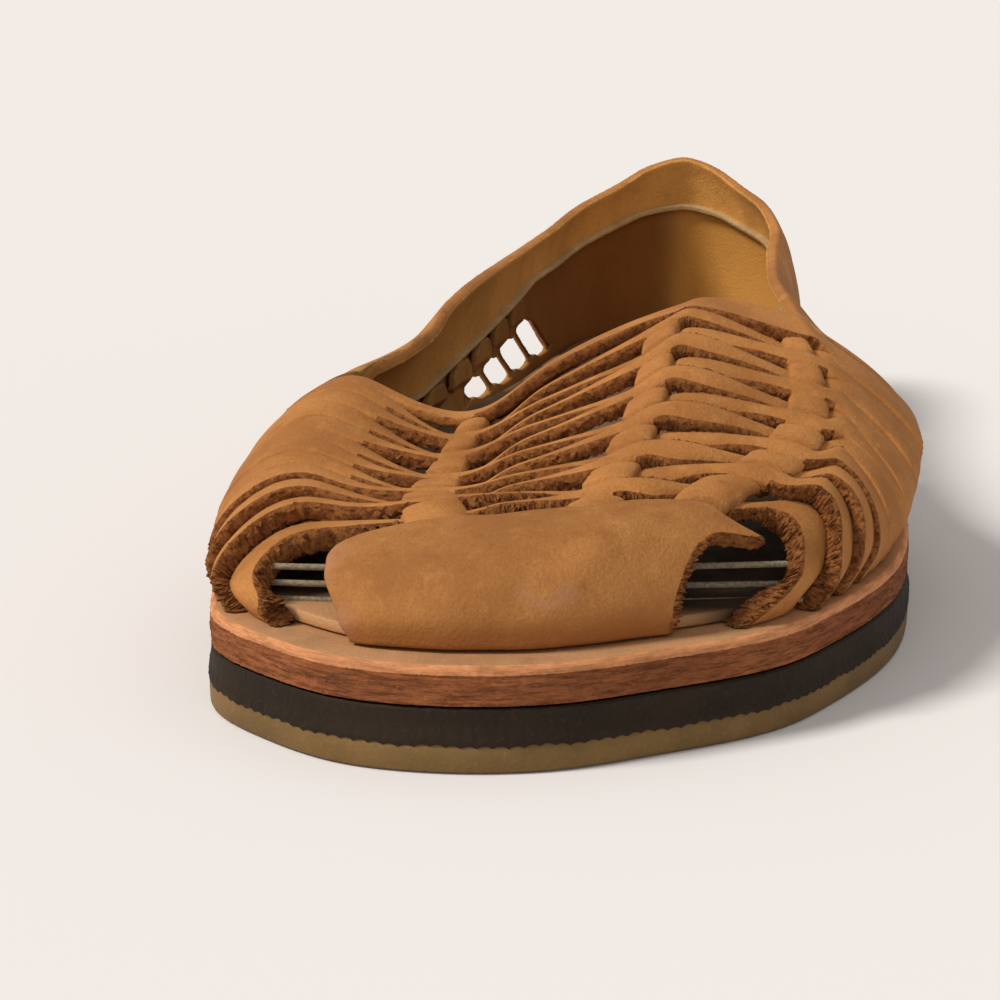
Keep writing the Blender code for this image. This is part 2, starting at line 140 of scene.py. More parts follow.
# How a strip changes across the foot. The keys are those of a strip whose fingers lie at
# FINGER_KEYS, and the weave is for a strip that passes over the middle finger.
FINGER_KEYS = (3.0, 5.1, 7.0)
STRIP_COURSE = (
    # key, width, mean, tilt, drop, thick, weave, slant
    (0.00, 1.30, 0.0002, 1.0, 0.0002, 0.90, 0.0, 0.00),
    (0.60, 1.34, 0.0006, 1.0, 0.0002, 1.00, 0.0, 0.00),
    (1.60, 1.34, 0.0008, 1.0, 0.0002, 1.00, 0.0, 0.02),
    (2.20, 1.30, 0.0008, 0.9, 0.0003, 1.00, 0.0, 0.03),
    (2.48, 1.10, 0.0007, 0.6, 0.0006, 1.00, -0.1, 0.00),
    (2.80, 0.80, 0.0006, 0.3, 0.0011, 0.85, -0.75, -0.02),
    (3.00, 1.00, 0.0006, 0.0, 0.0009, 0.70, -1.0, -0.02),
    (3.20, 0.78, 0.0006, 0.2, 0.0011, 0.85, -0.85, -0.02),
    (3.45, 0.76, 0.0006, 0.5, 0.0011, 0.95, -0.55, -0.02),
    (3.70, 0.84, 0.0006, 0.7, 0.0009, 1.00, -0.2, -0.02),
    (4.30, 0.86, 0.0006, 0.7, 0.0009, 1.00, 0.3, -0.03),
    (4.72, 0.76, 0.0006, 0.2, 0.0011, 0.85, 0.8, -0.03),
    (5.10, 1.02, 0.0006, 0.0, 0.0009, 0.70, 1.0, 0.00),
    (5.52, 0.84, 0.0006, -0.3, 0.0010, 0.90, 0.9, 0.01),
    (6.05, 0.96, 0.0006, -0.6, 0.0009, 1.00, 0.55, 0.00),
    (6.60, 0.80, 0.0006, -0.2, 0.0010, 0.90, -0.4, 0.00),
    (7.00, 1.02, 0.0006, 0.0, 0.0009, 0.70, -1.0, 0.00),
    (7.45, 0.95, 0.0006, 0.4, 0.0006, 0.90, -0.6, 0.00),
    (8.00, 1.30, 0.0008, 0.9, 0.0003, 1.00, 0.0, 0.00),
    (9.40, 1.34, 0.0006, 1.0, 0.0002, 1.00, 0.0, 0.00),
    (10.00, 1.30, 0.0002, 1.0, 0.0002, 0.90, 0.0, 0.00),
)

# The flanks of the strips, from the toe: shift, lift, tilt, thickness, width
FLANKS = (
    (0.046, -0.0007, 0.0012, 0.0038, 1.60),
    (0.068, 0.0004, 0.0014, 0.0034, 1.34),
    (0.080, 0.0002, 0.0010, 0.0026, 1.34),
    (0.080, 0.0001, 0.0006, 0.0024, 1.34),
    (0.065, 0.0000, 0.0003, 0.0022, 1.34),
    (0.050, 0.0000, 0.0003, 0.0020, 1.34),
    (0.030, 0.0000, 0.0002, 0.0020, 1.34),
    (0.000, 0.0000, 0.0002, 0.0020, 1.34),
)

# Back edge of the wide strap at the throat, at each key
THROAT_END = (
    (0.0, 1.02), (2.0, 0.99), (2.6, 0.96), (3.1, 0.99), (4.0, 0.98), (4.7, 1.03), (10.0, 1.03),
)

# The toe band: how far its back edge lies forward at each key, and where its left and right
# edges run, as key lines at each step from the back edge to the sole
BAND_BACK = (
    (2.00, 0.14), (2.43, 0.10), (2.95, 0.05), (3.40, 0.08), (4.40, 0.085), (5.25, 0.07),
    (6.57, 0.10), (6.82, 0.13), (7.10, 0.19), (7.38, 0.22), (7.70, 0.22), (8.10, 0.19),
)
BAND_EDGES = (
    (0.00, 2.45, 7.95), (0.07, 2.34, 7.84), (0.14, 2.27, 7.50), (0.28, 2.20, 7.40), (0.40, 2.13, 7.47),
    (0.55, 2.10, 7.60), (0.75, 2.10, 7.72), (0.93, 2.16, 7.76), (1.00, 2.27, 7.74),
)

# Marks on the toe band: place, half size and strength
BAND_SCUFFS = (
    ((0.0035, -0.1345, 0.0245), (0.0060, 0.0080, 0.0030), 0.60),
    ((-0.0330, -0.1300, 0.0280), (0.0090, 0.0150, 0.0130), 0.55),
    ((-0.0300, -0.1300, 0.0190), (0.0120, 0.0200, 0.0060), 0.45),
)
BAND_STAINS = (
    ((0.0230, -0.1300, 0.0200), (0.0130, 0.0150, 0.0040), 0.50),
    ((-0.0330, -0.1200, 0.0240), (0.0030, 0.0200, 0.0120), 0.65),
)

# Steps round each strap: over its outer face, round each edge and over its inner face
BAND_ROUND = (150, 9, 60)
STRIP_ROUND = (11, 8, 5)
THROAT_ROUND = (17, 6, 7)
FINGER_ROUND = (15, 5, 6)
WALL_ROUND = (30, 6, 30)
SIDE_ROUND = (9, 6, 7)
COLLAR_ROUND = (17, 7, 13)
LINING_ROUND = (5, 4, 5)
FOOTBED_ROUND = (28, 5, 10)
CORD_ROUND = 12

# Rings along each strap
BAND_RINGS = 110
STRIP_RINGS = 400
WALL_RINGS = 1000
BASE_RINGS = 340
UPRIGHT_RINGS = 56
COLLAR_RINGS = 700
FOOTBED_RINGS = 300
CORD_RINGS = 60

# Where the photograph was taken from, and its lens
CAMERA_PLACE = (0.0421, -0.4425, 0.115)
CAMERA_TURN = (76.1, 0.0, 8.4)
CAMERA_LENS = 82.84

# Leather and rubber shine little, and nap is shallow
MATT_SPECULAR = 0.16
SUEDE_BUMP = 0.0002


def spline(knots, values, at):
    """A smooth curve through rows of values, read at an array of places."""
    knots = np.asarray(knots, float)
    values = np.asarray(values, float)
    at = np.clip(np.asarray(at, float), knots[0], knots[-1])
    steps = np.diff(knots)[:, None]
    slopes = np.diff(values, axis=0) / steps
    before, after = steps[:-1], steps[1:]
    inner = (slopes[:-1] * after + slopes[1:] * before) / (before + after)
    tangents = np.vstack([slopes[:1], inner, slopes[-1:]])
    row = np.clip(np.searchsorted(knots, at, side="right") - 1, 0, len(knots) - 2)
    step = steps[row]
    f = (at - knots[row])[:, None] / step
    start, end = values[row], values[row + 1]
    pull = step * (f * (1 - f) ** 2 * tangents[row] - f * f * (1 - f) * tangents[row + 1])
    return start + (end - start) * f * f * (3 - 2 * f) + pull


def row_spline(rows, at):
    """The same curve through rows that start with their knot."""
    return spline([row[0] for row in rows], [row[1:] for row in rows], at)


def key_spline(values, key):
    """The same curve through values at 0, 1, 2 and so on, where each point has its own values."""
    slopes = np.diff(values, axis=1)
    inner = (slopes[:, :-1] + slopes[:, 1:]) / 2
    tangents = np.concatenate([slopes[:, :1], inner, slopes[:, -1:]], axis=1)
    row = np.clip(key.astype(int), 0, values.shape[1] - 2)
    pick = np.arange(len(key))
    f = (key - row)[:, None]
    start, end = values[pick, row], values[pick, row + 1]
    pull = f * (1 - f) ** 2 * tangents[pick, row] - f * f * (1 - f) * tangents[pick, row + 1]
    return start + (end - start) * f * f * (3 - 2 * f) + pull


def smooth_step(f):
    f = np.clip(f, 0.0, 1.0)
    return f * f * (3 - 2 * f)


def footprint_knots():
    """Footprint rows in metres, (side, station), with their distance round the sole."""
    rows = np.array([(side * BALL_WIDTH, station * LENGTH) for station, side in FOOTPRINT])
    closed = np.vstack([rows, rows[:1]])
    length = np.concatenate([[0.0], np.cumsum(np.linalg.norm(np.diff(closed, axis=0), axis=1))])
    return rows, length


ROWS, ROUND = footprint_knots()
GIRTH = ROUND[-1]


def footprint(along, inset):
    """Points of the sole's edge at distances round it, moved inwards, and the way inwards."""
    points = np.vstack([ROWS[-3:], ROWS, ROWS[:3]])
    around = np.concatenate([ROUND[-4:-1] - GIRTH, ROUND[:-1], ROUND[:3] + GIRTH])
    along = np.asarray(along) % GIRTH
    nudge = 0.0005
    ahead = spline(around, points, along + nudge) - spline(around, points, along - nudge)
    ahead /= np.linalg.norm(ahead, axis=1)[:, None]
    inward = np.stack([ahead[:, 1], -ahead[:, 0]], axis=1)
    return spline(around, points, along) + np.asarray(inset).reshape(-1, 1) * inward, inward


def foot_samples():
    """The upper's foot once round the sole: distance, side, station and the way inwards."""
    along = np.linspace(0.0, GIRTH, FOOT_SAMPLES + 1)
    edge, _ = footprint(along, 0.0)
    near_toe = np.maximum(0.0, 1 - edge[:, 1] / TOE_MARGIN_REACH)
    margin = SIDE_MARGIN + (TOE_MARGIN - SIDE_MARGIN) * near_toe ** 0.7
    foot, inward = footprint(along, margin)
    return np.column_stack([along, foot, inward])


FOOT = foot_samples()
HEEL_ALONG = ROUND[HEEL_ROW]
MEDIAL_FOOT = FOOT[FOOT[:, 0] <= HEEL_ALONG]
LATERAL_FOOT = FOOT[FOOT[:, 0] >= HEEL_ALONG][::-1]


def foot_point(along):
    """Where the upper's outer face stands on the sole, and the way inwards there."""
    values = [np.interp(along, FOOT[:, 0], FOOT[:, k]) for k in range(1, 5)]
    return np.stack(values[:2], axis=-1), np.stack(values[2:], axis=-1)


def lift(station):
    """Height of the whole sole over the floor, from toe spring and arch."""
    toe = np.maximum(0.0, 1.0 - station / TOE_SPRING_REACH) ** 2 * TOE_SPRING
    arch = np.clip((station - ARCH_FROM) / (ARCH_TO - ARCH_FROM), 0.0, 1.0)
    return toe + np.sin(math.pi * arch) ** 2 * ARCH_LIFT


def place(side, station, height):
    """Frame coordinates of points by side, station and height over the sole."""
    level = height + SOLE_TOP + lift(station)
    return np.stack([side - MIDDLE_SIDE, station - LENGTH / 2, level], axis=-1)


def keep_above_sole(points):
    """Raises points that lie lower than the top of the sole."""
    floor = SOLE_TOP + CLEAR + lift(points[..., 1] + LENGTH / 2)
    points[..., 2] = np.maximum(points[..., 2], floor)


def weave_points(u, key):
    """Points of the forefoot's surface: u runs from the first strip to the throat."""
    shape = u.shape
    u, key = u.ravel(), key.ravel()
    reach = spline(range(len(WEAVE_REACH)), WEAVE_REACH, key)
    station = (reach[:, 0] + (reach[:, 1] - reach[:, 0]) * u) * LENGTH
    middle = [spline(SECTION_STATIONS, line, station / LENGTH) for line in SECTIONS]
    middle = [pair * np.array([BALL_WIDTH, INSTEP_RISE]) for pair in middle]
    left = np.interp(station, MEDIAL_FOOT[:, 2], MEDIAL_FOOT[:, 1])
    right = np.interp(station, LATERAL_FOOT[:, 2], LATERAL_FOOT[:, 1])
    low, high = middle[0][:, 1], middle[-1][:, 1]
    left_flank = np.stack([left - FLANK_BULGE * low / INSTEP_RISE, low / 2], axis=1)
    right_flank = np.stack([right + FLANK_BULGE * high / INSTEP_RISE, high / 2], axis=1)
    ground = np.zeros_like(left)
    ends = [np.stack([left, ground], axis=1), left_flank], [right_flank, np.stack([right, ground], axis=1)]
    values = np.stack([*ends[0], *middle, *ends[1]], axis=1)
    pair = key_spline(values, key)
    return place(pair[:, 0], station, pair[:, 1]).reshape(*shape, 3)


def band_points(w, key):
    """Points of the toe band: w runs from its back edge to its foot on the sole, and below 0 back
    over the weave."""
    behind = np.clip(-w, 0.0, 1.0)
    top = weave_points(behind * 0.30, key)
    share = (key - BAND_LINES[0]) / (BAND_LINES[1] - BAND_LINES[0])
    along = (BAND_FOOT[0] + (BAND_FOOT[1] - BAND_FOOT[0]) * share) * LENGTH % GIRTH
    foot, _ = foot_point(along)
    foot = place(foot[..., 0], foot[..., 1], 0.0)
    angle = np.clip(w, 0.0, 1.0) * math.pi / 2
    forward = np.sin(angle) ** 0.80
    upward = np.cos(angle).clip(0.0) ** 0.72
    points = top + (foot - top) * forward[..., None]
    points[..., 0] = top[..., 0] + (foot[..., 0] - top[..., 0]) * forward ** BAND_FLARE
    points[..., 2] = foot[..., 2] + (top[..., 2] - foot[..., 2]) * upward
    return points


def quarter_points(v, share):
    """Points of both quarters in one turn: v is 0 at the weave's left end, 1 at the back of the heel
    and 2 at the weave's right end, and share runs from the sole to the collar."""
    shape = v.shape
    v, share = v.ravel(), share.ravel()
    points = np.empty((len(v), 3))
    rows = COLLAR + ((2 - COLLAR[-2][0], *COLLAR[-2][1:]),)
    for right in (False, True):
        pick = (v > 1) if right else (v <= 1)
        way = np.where(right, 2 - v[pick], v[pick])
        part = share[pick]
        joint = WEAVE_REACH[-1][1] if right else WEAVE_REACH[0][1]
        foot = LATERAL_FOOT if right else MEDIAL_FOOT
        start = np.interp(joint * LENGTH, foot[:, 2], foot[:, 0])
        first, first_in = foot_point(start)
        key = LAST_KEY - 2 * part if right else 2 * part
        reach = weave_points(np.ones_like(key), key) - place(first[0], first[1], 0.0)
        first_lean = reach[:, :2] @ first_in
        skew = reach[:, :2] - first_lean[:, None] * first_in
        base, inward = foot_point(start + (HEEL_ALONG - start) * way)
        row = row_spline(rows, way)
        lean = row[:, 2 if right else 1] * part ** 2 - QUARTER_BULGE * np.sin(math.pi * part)
        height = row[:, 0] * QUARTER_HEIGHT * part
        hold = 1 - smooth_step(way / 0.22)
        lean += (first_lean - lean) * hold
        height += (reach[:, 2] - height) * hold
        flat = base + inward * lean[:, None] + skew * hold[:, None]
        points[pick] = place(flat[:, 0], flat[:, 1], height)
    return points.reshape(*shape, 3)


class Surface:
    """A fine grid of points with outward directions, read between its nodes."""

    def __init__(self, points_of, first, second, outward):
        self.low = first[0], second[0]
        self.high = first[1], second[1]
        self.count = first[2], second[2]
        a = np.linspace(*first)
        b = np.linspace(*second)
        a, b = np.meshgrid(a, b, indexing="ij")
        self.points = points_of(a, b)
        along = np.gradient(self.points, axis=0)
        across = np.gradient(self.points, axis=1)
        normal = np.cross(along, across)
        normal /= np.linalg.norm(normal, axis=-1)[..., None] + 1e-12
        middle = tuple(n // 2 for n in self.count)
        if normal[middle] @ np.array(outward) < 0:
            normal = -normal
        self.normals = normal

    def at(self, a, b):
        """Points and outward directions at the places given by two arrays."""
        spots = []
        for value, low, high, count in zip((a, b), self.low, self.high, self.count):
            spot = np.clip((value - low) / (high - low), 0.0, 1.0) * (count - 1)
            cell = np.clip(spot.astype(int), 0, count - 2)
            spots.append((cell, (spot - cell)[..., None]))
        (i, f), (j, g) = spots
        result = []
        for grid in (self.points, self.normals):
            near = grid[i, j] * (1 - g) + grid[i, j + 1] * g
            far = grid[i + 1, j] * (1 - g) + grid[i + 1, j + 1] * g
            result.append(near * (1 - f) + far * f)
        point, normal = result
        return point, normal / (np.linalg.norm(normal, axis=-1)[..., None] + 1e-12)


WEAVE = Surface(weave_points, (-0.15, 1.12, 255), (0.0, 10.0, 401), (0, 0, 1))
BAND = Surface(band_points, (-0.30, 1.0, 261), (1.8, 8.2, 385), (0, -1, 1))
QUARTERS = Surface(quarter_points, (0.0, 2.0, 601), (0.0, 1.0, 81), (0, 1, 0))


def strap_loop(across_steps, edge_steps, under_steps):
    """Round of a strap's cross section: place across, bulge of an edge, depth, and whether it is edge."""
    across, bulge, depth, edge = [], [], [], []
    turns = np.linspace(0, math.pi, edge_steps + 2)[1:-1]
    for side in (1, -1):
        steps = across_steps if side > 0 else under_steps
        across += list(np.linspace(-side, side, steps))
        bulge += [0.0] * steps
        depth += [0.0 if side > 0 else 1.0] * steps
        edge += [False] * steps
        across += [side] * edge_steps
        bulge += list(side * np.sin(turns) ** 0.6)
        fall = 0.5 - 0.5 * np.sign(np.cos(turns)) * np.abs(np.cos(turns)) ** 0.6
        depth += list(fall if side > 0 else 1 - fall)
        edge += [True] * edge_steps
    return np.array(across, float), np.array(bulge), np.array(depth), np.array(edge)


def smooth_noise(random, count, spacing):
    """One line of soft noise between about -1 and 1, with a bump every few steps."""
    knots = max(4, int(count / spacing) + 3)
    values = random.uniform(-1, 1, (knots, 1))
    return spline(np.arange(knots), values, np.linspace(0, knots - 1.001, count))[:, 0]


def lay_strap(surface, length, centre, half, top, thick, loop, swap=False, bend=None, fuzz=0.0, seed=0,
              ends=0.0):
    """Rings of points of a strap on a surface. Length, centre and half say where it runs, bend moves
    its length by the place across, top gives its outer face, and fuzz roughens its cut edges."""
    random = np.random.default_rng(seed)
    across, bulge, depth, edge = loop
    count = len(length)
    thick = np.broadcast_to(thick, (count,))
    fuzz = edge * np.broadcast_to(fuzz, (count, len(edge)))

    def read(position):
        run = bend(long, position) if bend else long
        return surface.at(position, run) if swap else surface.at(run, position)

    long = length
    near, _ = read(centre - half)
    far, _ = read(centre + half)
    half_width = np.linalg.norm(far - near, axis=1) / 2
    soft = np.minimum(0.45, 0.42 * thick / half_width)[:, None]
    place_across = across * (1 - soft) + bulge * soft
    place_across = place_across + fuzz * random.normal(0, 1, fuzz.shape) / half_width[:, None]
    long = np.broadcast_to(length[:, None], place_across.shape)
    points, normal = read(centre[:, None] + half[:, None] * place_across)
    sink = depth + fuzz * random.normal(0, 1, fuzz.shape) / thick[:, None]
    if ends:
        step = np.linalg.norm(np.diff(points[:, 0], axis=0), axis=1)
        run = np.concatenate([[0.0], np.cumsum(step)])
        away = np.minimum(run, run[-1] - run) / ends
        round_off = np.sqrt(1 - (1 - np.clip(away, 0.02, 1.0)) ** 2)[:, None]
        sink = 0.5 + (sink - 0.5) * round_off
    height = top(long, place_across) - sink * thick[:, None]
    return points + normal * height[..., None]


def select_only(piece):
    bpy.ops.object.select_all(action="DESELECT")
    piece.select_set(True)
    bpy.context.view_layer.objects.active = piece


def shape_grid(name, points, paint, materials, angle=60):
    """A grid primitive shaped to the rings of points, closed round and at both ends. Paint gives the
    material of the faces after each point of a ring, and may differ from ring to ring."""
    rings, around = points.shape[:2]
    bpy.ops.object.select_all(action="DESELECT")
    bpy.ops.mesh.primitive_grid_add(x_subdivisions=around, y_subdivisions=rings - 1, size=1)
    piece = bpy.context.object
    piece.name = name
    data = piece.data
    data.name = name
    flat = np.empty(len(data.vertices) * 3)
    data.vertices.foreach_get("co", flat)
    flat = flat.reshape(-1, 3) + 0.5
    column = np.rint(flat[:, 0] * around).astype(int)
    row = np.rint(flat[:, 1] * (rings - 1)).astype(int)
    closed = np.concatenate([points, points[:, :1]], axis=1)
    data.vertices.foreach_set("co", closed[row, column].ravel())
    corner = np.empty(len(data.loops), int)
    data.loops.foreach_get("vertex_index", corner)
    face_column = column[corner].reshape(-1, 4).min(axis=1)
    face_row = row[corner].reshape(-1, 4).min(axis=1)
    paint = np.broadcast_to(np.asarray(paint, int), (rings, around))
    for material in materials:
        data.materials.append(material)
    data.polygons.foreach_set("material_index", paint[face_row, face_column])
    data.update()
    select_only(piece)
    bpy.ops.object.mode_set(mode="EDIT")
    bpy.ops.mesh.select_all(action="SELECT")
    bpy.ops.mesh.remove_doubles(threshold=1e-7)
    bpy.ops.mesh.fill_holes(sides=0)
    bpy.ops.mesh.select_all(action="SELECT")
    bpy.ops.mesh.normals_make_consistent(inside=False)
    bpy.ops.object.mode_set(mode="OBJECT")
    bpy.ops.object.shade_smooth_by_angle(angle=math.radians(angle))
    return piece


def finish_piece(piece, node):
    """Puts a finished piece on the sandal in place of a node of the frame."""
    piece.location = (0, 0, 0)
    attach(piece, "root")
    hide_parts(node)
    return piece


def add_node(tree, kind, inputs=None, **settings):
    node = tree.nodes.new(kind)
    for key, value in settings.items():
        setattr(node, key, value)
    for key, value in (inputs or {}).items():
        if isinstance(value, bpy.types.NodeSocket):
            tree.links.new(value, node.inputs[key])
        else:
            node.inputs[key].default_value = value
    return node


def new_group(name, colours, measures):
    """An empty shader node group: a place and colours go in, a colour and measures come out."""
    group = bpy.data.node_groups.new(name, "ShaderNodeTree")
    sockets = [("Vector", "INPUT", "NodeSocketVector")]
    sockets += [(label, "INPUT", "NodeSocketColor") for label in colours]
    sockets += [("Color", "OUTPUT", "NodeSocketColor")]
    sockets += [(label, "OUTPUT", "NodeSocketFloat") for label in measures]
    for label, way, kind in sockets:
        group.interface.new_socket(label, in_out=way, socket_type=kind)
    return group, group.nodes.new("NodeGroupInput").outputs, group.nodes.new("NodeGroupOutput").inputs


def multiply(tree, a, b, operation="MULTIPLY"):
    return add_node(tree, "ShaderNodeMath", {0: a, 1: b}, operation=operation).outputs[0]


def add(tree, a, b):
    return multiply(tree, a, b, "ADD")


def remap(tree, value, low, high, to_low=0.0, to_high=1.0):
    """A value taken softly from one span to another."""
    values = {"Value": value, "From Min": low, "From Max": high, "To Min": to_low, "To Max": to_high}
    return add_node(tree, "ShaderNodeMapRange", values, interpolation_type="SMOOTHSTEP").outputs["Result"]


def blend_colour(tree, factor, first, second):
    """One colour faded into another. The node's colour sockets have the numbers 6, 7 and 2."""
    values = {0: factor, 6: first, 7: second}
    return add_node(tree, "ShaderNodeMix", values, data_type="RGBA", blend_type="MIX").outputs[2]


def noise(tree, vector, scale, detail, roughness):
    settings = {"Vector": vector, "Scale": scale, "Detail": detail, "Roughness": roughness}
    return add_node(tree, "ShaderNodeTexNoise", settings).outputs["Fac"]


def nubuck_group():
    """Mottled nubuck: soft blotches, fine nap and shallow pores."""
    tree, given, result = new_group("Nubuck nap", ("Base", "Shade", "Light"), ("Roughness", "Height"))
    vector = given["Vector"]
    cloud = noise(tree, vector, 45.0, 5.0, 0.6)
    blotch = noise(tree, vector, 260.0, 6.0, 0.65)
    nap = noise(tree, vector, 2600.0, 3.0, 0.6)
    pore = add_node(tree, "ShaderNodeTexVoronoi", {"Vector": vector, "Scale": 1500.0})
    shade = multiply(tree, remap(tree, cloud, 0.62, 0.36), 0.55)
    colour = blend_colour(tree, shade, given["Base"], given["Shade"])
    light = multiply(tree, remap(tree, blotch, 0.52, 0.74), 0.45)
    colour = blend_colour(tree, light, colour, given["Light"])
    dark = multiply(tree, remap(tree, blotch, 0.46, 0.30), 0.45)
    colour = blend_colour(tree, dark, colour, given["Shade"])
    grain = multiply(tree, remap(tree, nap, 0.62, 0.38), 0.30)
    colour = blend_colour(tree, grain, colour, given["Shade"])
    tree.links.new(colour, result["Color"])
    tree.links.new(remap(tree, blotch, 0.3, 0.7, 0.72, 0.92), result["Roughness"])
    height = add(tree, multiply(tree, nap, 0.5), multiply(tree, pore.outputs["Distance"], 0.35))
    tree.links.new(add(tree, height, multiply(tree, blotch, 0.8)), result["Height"])
    return tree


def fibre_group():
    """Raw leather fibres of a cut edge: dark pits and pale tufts."""
    tree, given, result = new_group("Raw fibres", ("Dark", "Base", "Tuft"), ("Height",))
    pits = noise(tree, given["Vector"], 900.0, 6.0, 0.75)
    hairs = noise(tree, given["Vector"], 2400.0, 5.0, 0.8)
    colour = blend_colour(tree, remap(tree, pits, 0.36, 0.60), given["Dark"], given["Base"])
    tuft = multiply(tree, remap(tree, hairs, 0.56, 0.70), remap(tree, pits, 0.40, 0.60))
    colour = blend_colour(tree, multiply(tree, tuft, 0.8), colour, given["Tuft"])
    tree.links.new(colour, result["Color"])
    tree.links.new(add(tree, pits, multiply(tree, hairs, 0.8)), result["Height"])
    return tree


def strata_group():
    """Fibres that lie in level layers, as on the cut side of thick sole leather."""
    tree, given, result = new_group("Level fibres", ("Dark", "Base", "Light"), ("Height",))
    flat = add_node(tree, "ShaderNodeMapping", {"Vector": given["Vector"], "Scale": (1.0, 1.0, 9.0)})
    streak = noise(tree, flat.outputs[0], 170.0, 8.0, 0.72)
    fine = noise(tree, flat.outputs[0], 620.0, 5.0, 0.75)
    patch = noise(tree, given["Vector"], 30.0, 3.0, 0.5)
    colour = blend_colour(tree, remap(tree, streak, 0.38, 0.62), given["Dark"], given["Base"])
    colour = blend_colour(tree, multiply(tree, remap(tree, fine, 0.52, 0.72), 0.7), colour, given["Light"])
    colour = blend_colour(tree, multiply(tree, remap(tree, patch, 0.45, 0.70), 0.35), colour, given["Dark"])
    tree.links.new(colour, result["Color"])
    tree.links.new(add(tree, streak, multiply(tree, fine, 0.7)), result["Height"])
    return tree


def start_material(name, roughness):
    material = bpy.data.materials.new(name)
    material.use_nodes = True
    tree = material.node_tree
    shader = tree.nodes["Principled BSDF"]
    shader.inputs["Roughness"].default_value = roughness
    shader.inputs["Specular IOR Level"].default_value = MATT_SPECULAR
    vector = tree.nodes.new("ShaderNodeTexCoord").outputs["Object"]
    return material, tree, shader, vector


def use_group(tree, group, vector, colours):
    node = tree.nodes.new("ShaderNodeGroup")
    node.node_tree = group
    tree.links.new(vector, node.inputs["Vector"])
    for label, colour in colours.items():
        node.inputs[label].default_value = (*colour, 1.0)
    return node.outputs


def add_bump(tree, shader, height, distance):
    bump = add_node(tree, "ShaderNodeBump", {"Height": height, "Distance": distance, "Strength": 1.0})
    tree.links.new(bump.outputs["Normal"], shader.inputs["Normal"])


def tinted(colour, *gains):
    """A colour multiplied by one gain, or by one for each channel."""
    gains = gains * 3 if len(gains) == 1 else gains
    return tuple(min(1.0, c * gain) for c, gain in zip(colour, gains))


def length_property(label, words, default):
    return FloatProperty(name=label, description=words, default=default, unit="LENGTH")


def colour_property(label, words, default):
    return FloatVectorProperty(name=label, description=words, subtype="COLOR", default=default, min=0, max=1)


class HuaracheSizes(bpy.types.PropertyGroup):
    """Sizes of the straps."""

    strip_thickness: length_property("Strip thickness", "Thickness of a cross strip", 0.0022)
    finger_thickness: length_property("Finger thickness", "Thickness of a lengthwise finger", 0.0017)
    band_thickness: length_property("Band thickness", "Thickness of the toe band", 0.0030)
    band_rise: length_property("Band rise", "Height of the toe band over the last", 0.0006)
    weave_depth: length_property("Weave depth", "How far a strip rises and dips in the weave", 0.0011)
    edge_fuzz: length_property("Edge fuzz", "Roughness of the cut edges", 0.00013)
    cord_diameter: length_property("Cord diameter", "Diameter of the thin cords in the toe", 0.0010)


class HuaracheColours(bpy.types.PropertyGroup):
    """Colours of the leathers and rubbers."""

    nubuck: colour_property("Nubuck", "Camel grain side", (0.50, 0.215, 0.062))
    # Nubuck shade also paints the shade along the toe band's lower edge.
    nubuck_shade: colour_property("Nubuck shade", "Darker blotches of the grain side", (0.27, 0.098, 0.024))
    nubuck_light: colour_property("Nubuck light", "Worn places of the grain side", (0.60, 0.30, 0.11))
    quarter: colour_property("Quarter", "Olive brown of the quarters and the heel", (0.45, 0.215, 0.060))
    raw_edge: colour_property("Raw edge", "Fibres of the cut edges", (0.44, 0.165, 0.047))
    raw_dark: colour_property("Raw edge pits", "Pits between the fibres", (0.19, 0.060, 0.016))
    raw_tuft: colour_property("Raw edge tufts", "Pale tufts on the fibres", (0.62, 0.34, 0.15))
    pale_edge: colour_property("Pale edge", "Light lower edge of the collar strap", (0.52, 0.34, 0.15))
    scuff: colour_property("Scuff", "Pink scuffs of the toe band", (0.43, 0.20, 0.11))
    sole_side: colour_property("Sole side", "Cut side of the thick leather", (0.44, 0.145, 0.052))
    sole_top: colour_property("Sole top", "Smooth top of the thick leather", (0.52, 0.27, 0.125))
    black: colour_property("Black rubber", "Middle layer", (0.025, 0.015, 0.008))
    tan: colour_property("Tan rubber", "Bottom layer", (0.195, 0.112, 0.038))
    lining: colour_property("Footbed", "Leather inside", (0.21, 0.120, 0.064))
    # The cord colour is painted light, for streaks of light that fall through the weave.
    light_streak_cord: colour_property("Cord", "Thin cords in the toe", (0.30, 0.24, 0.16))
    floor: colour_property("Floor", "Pale floor", (0.827, 0.806, 0.806))


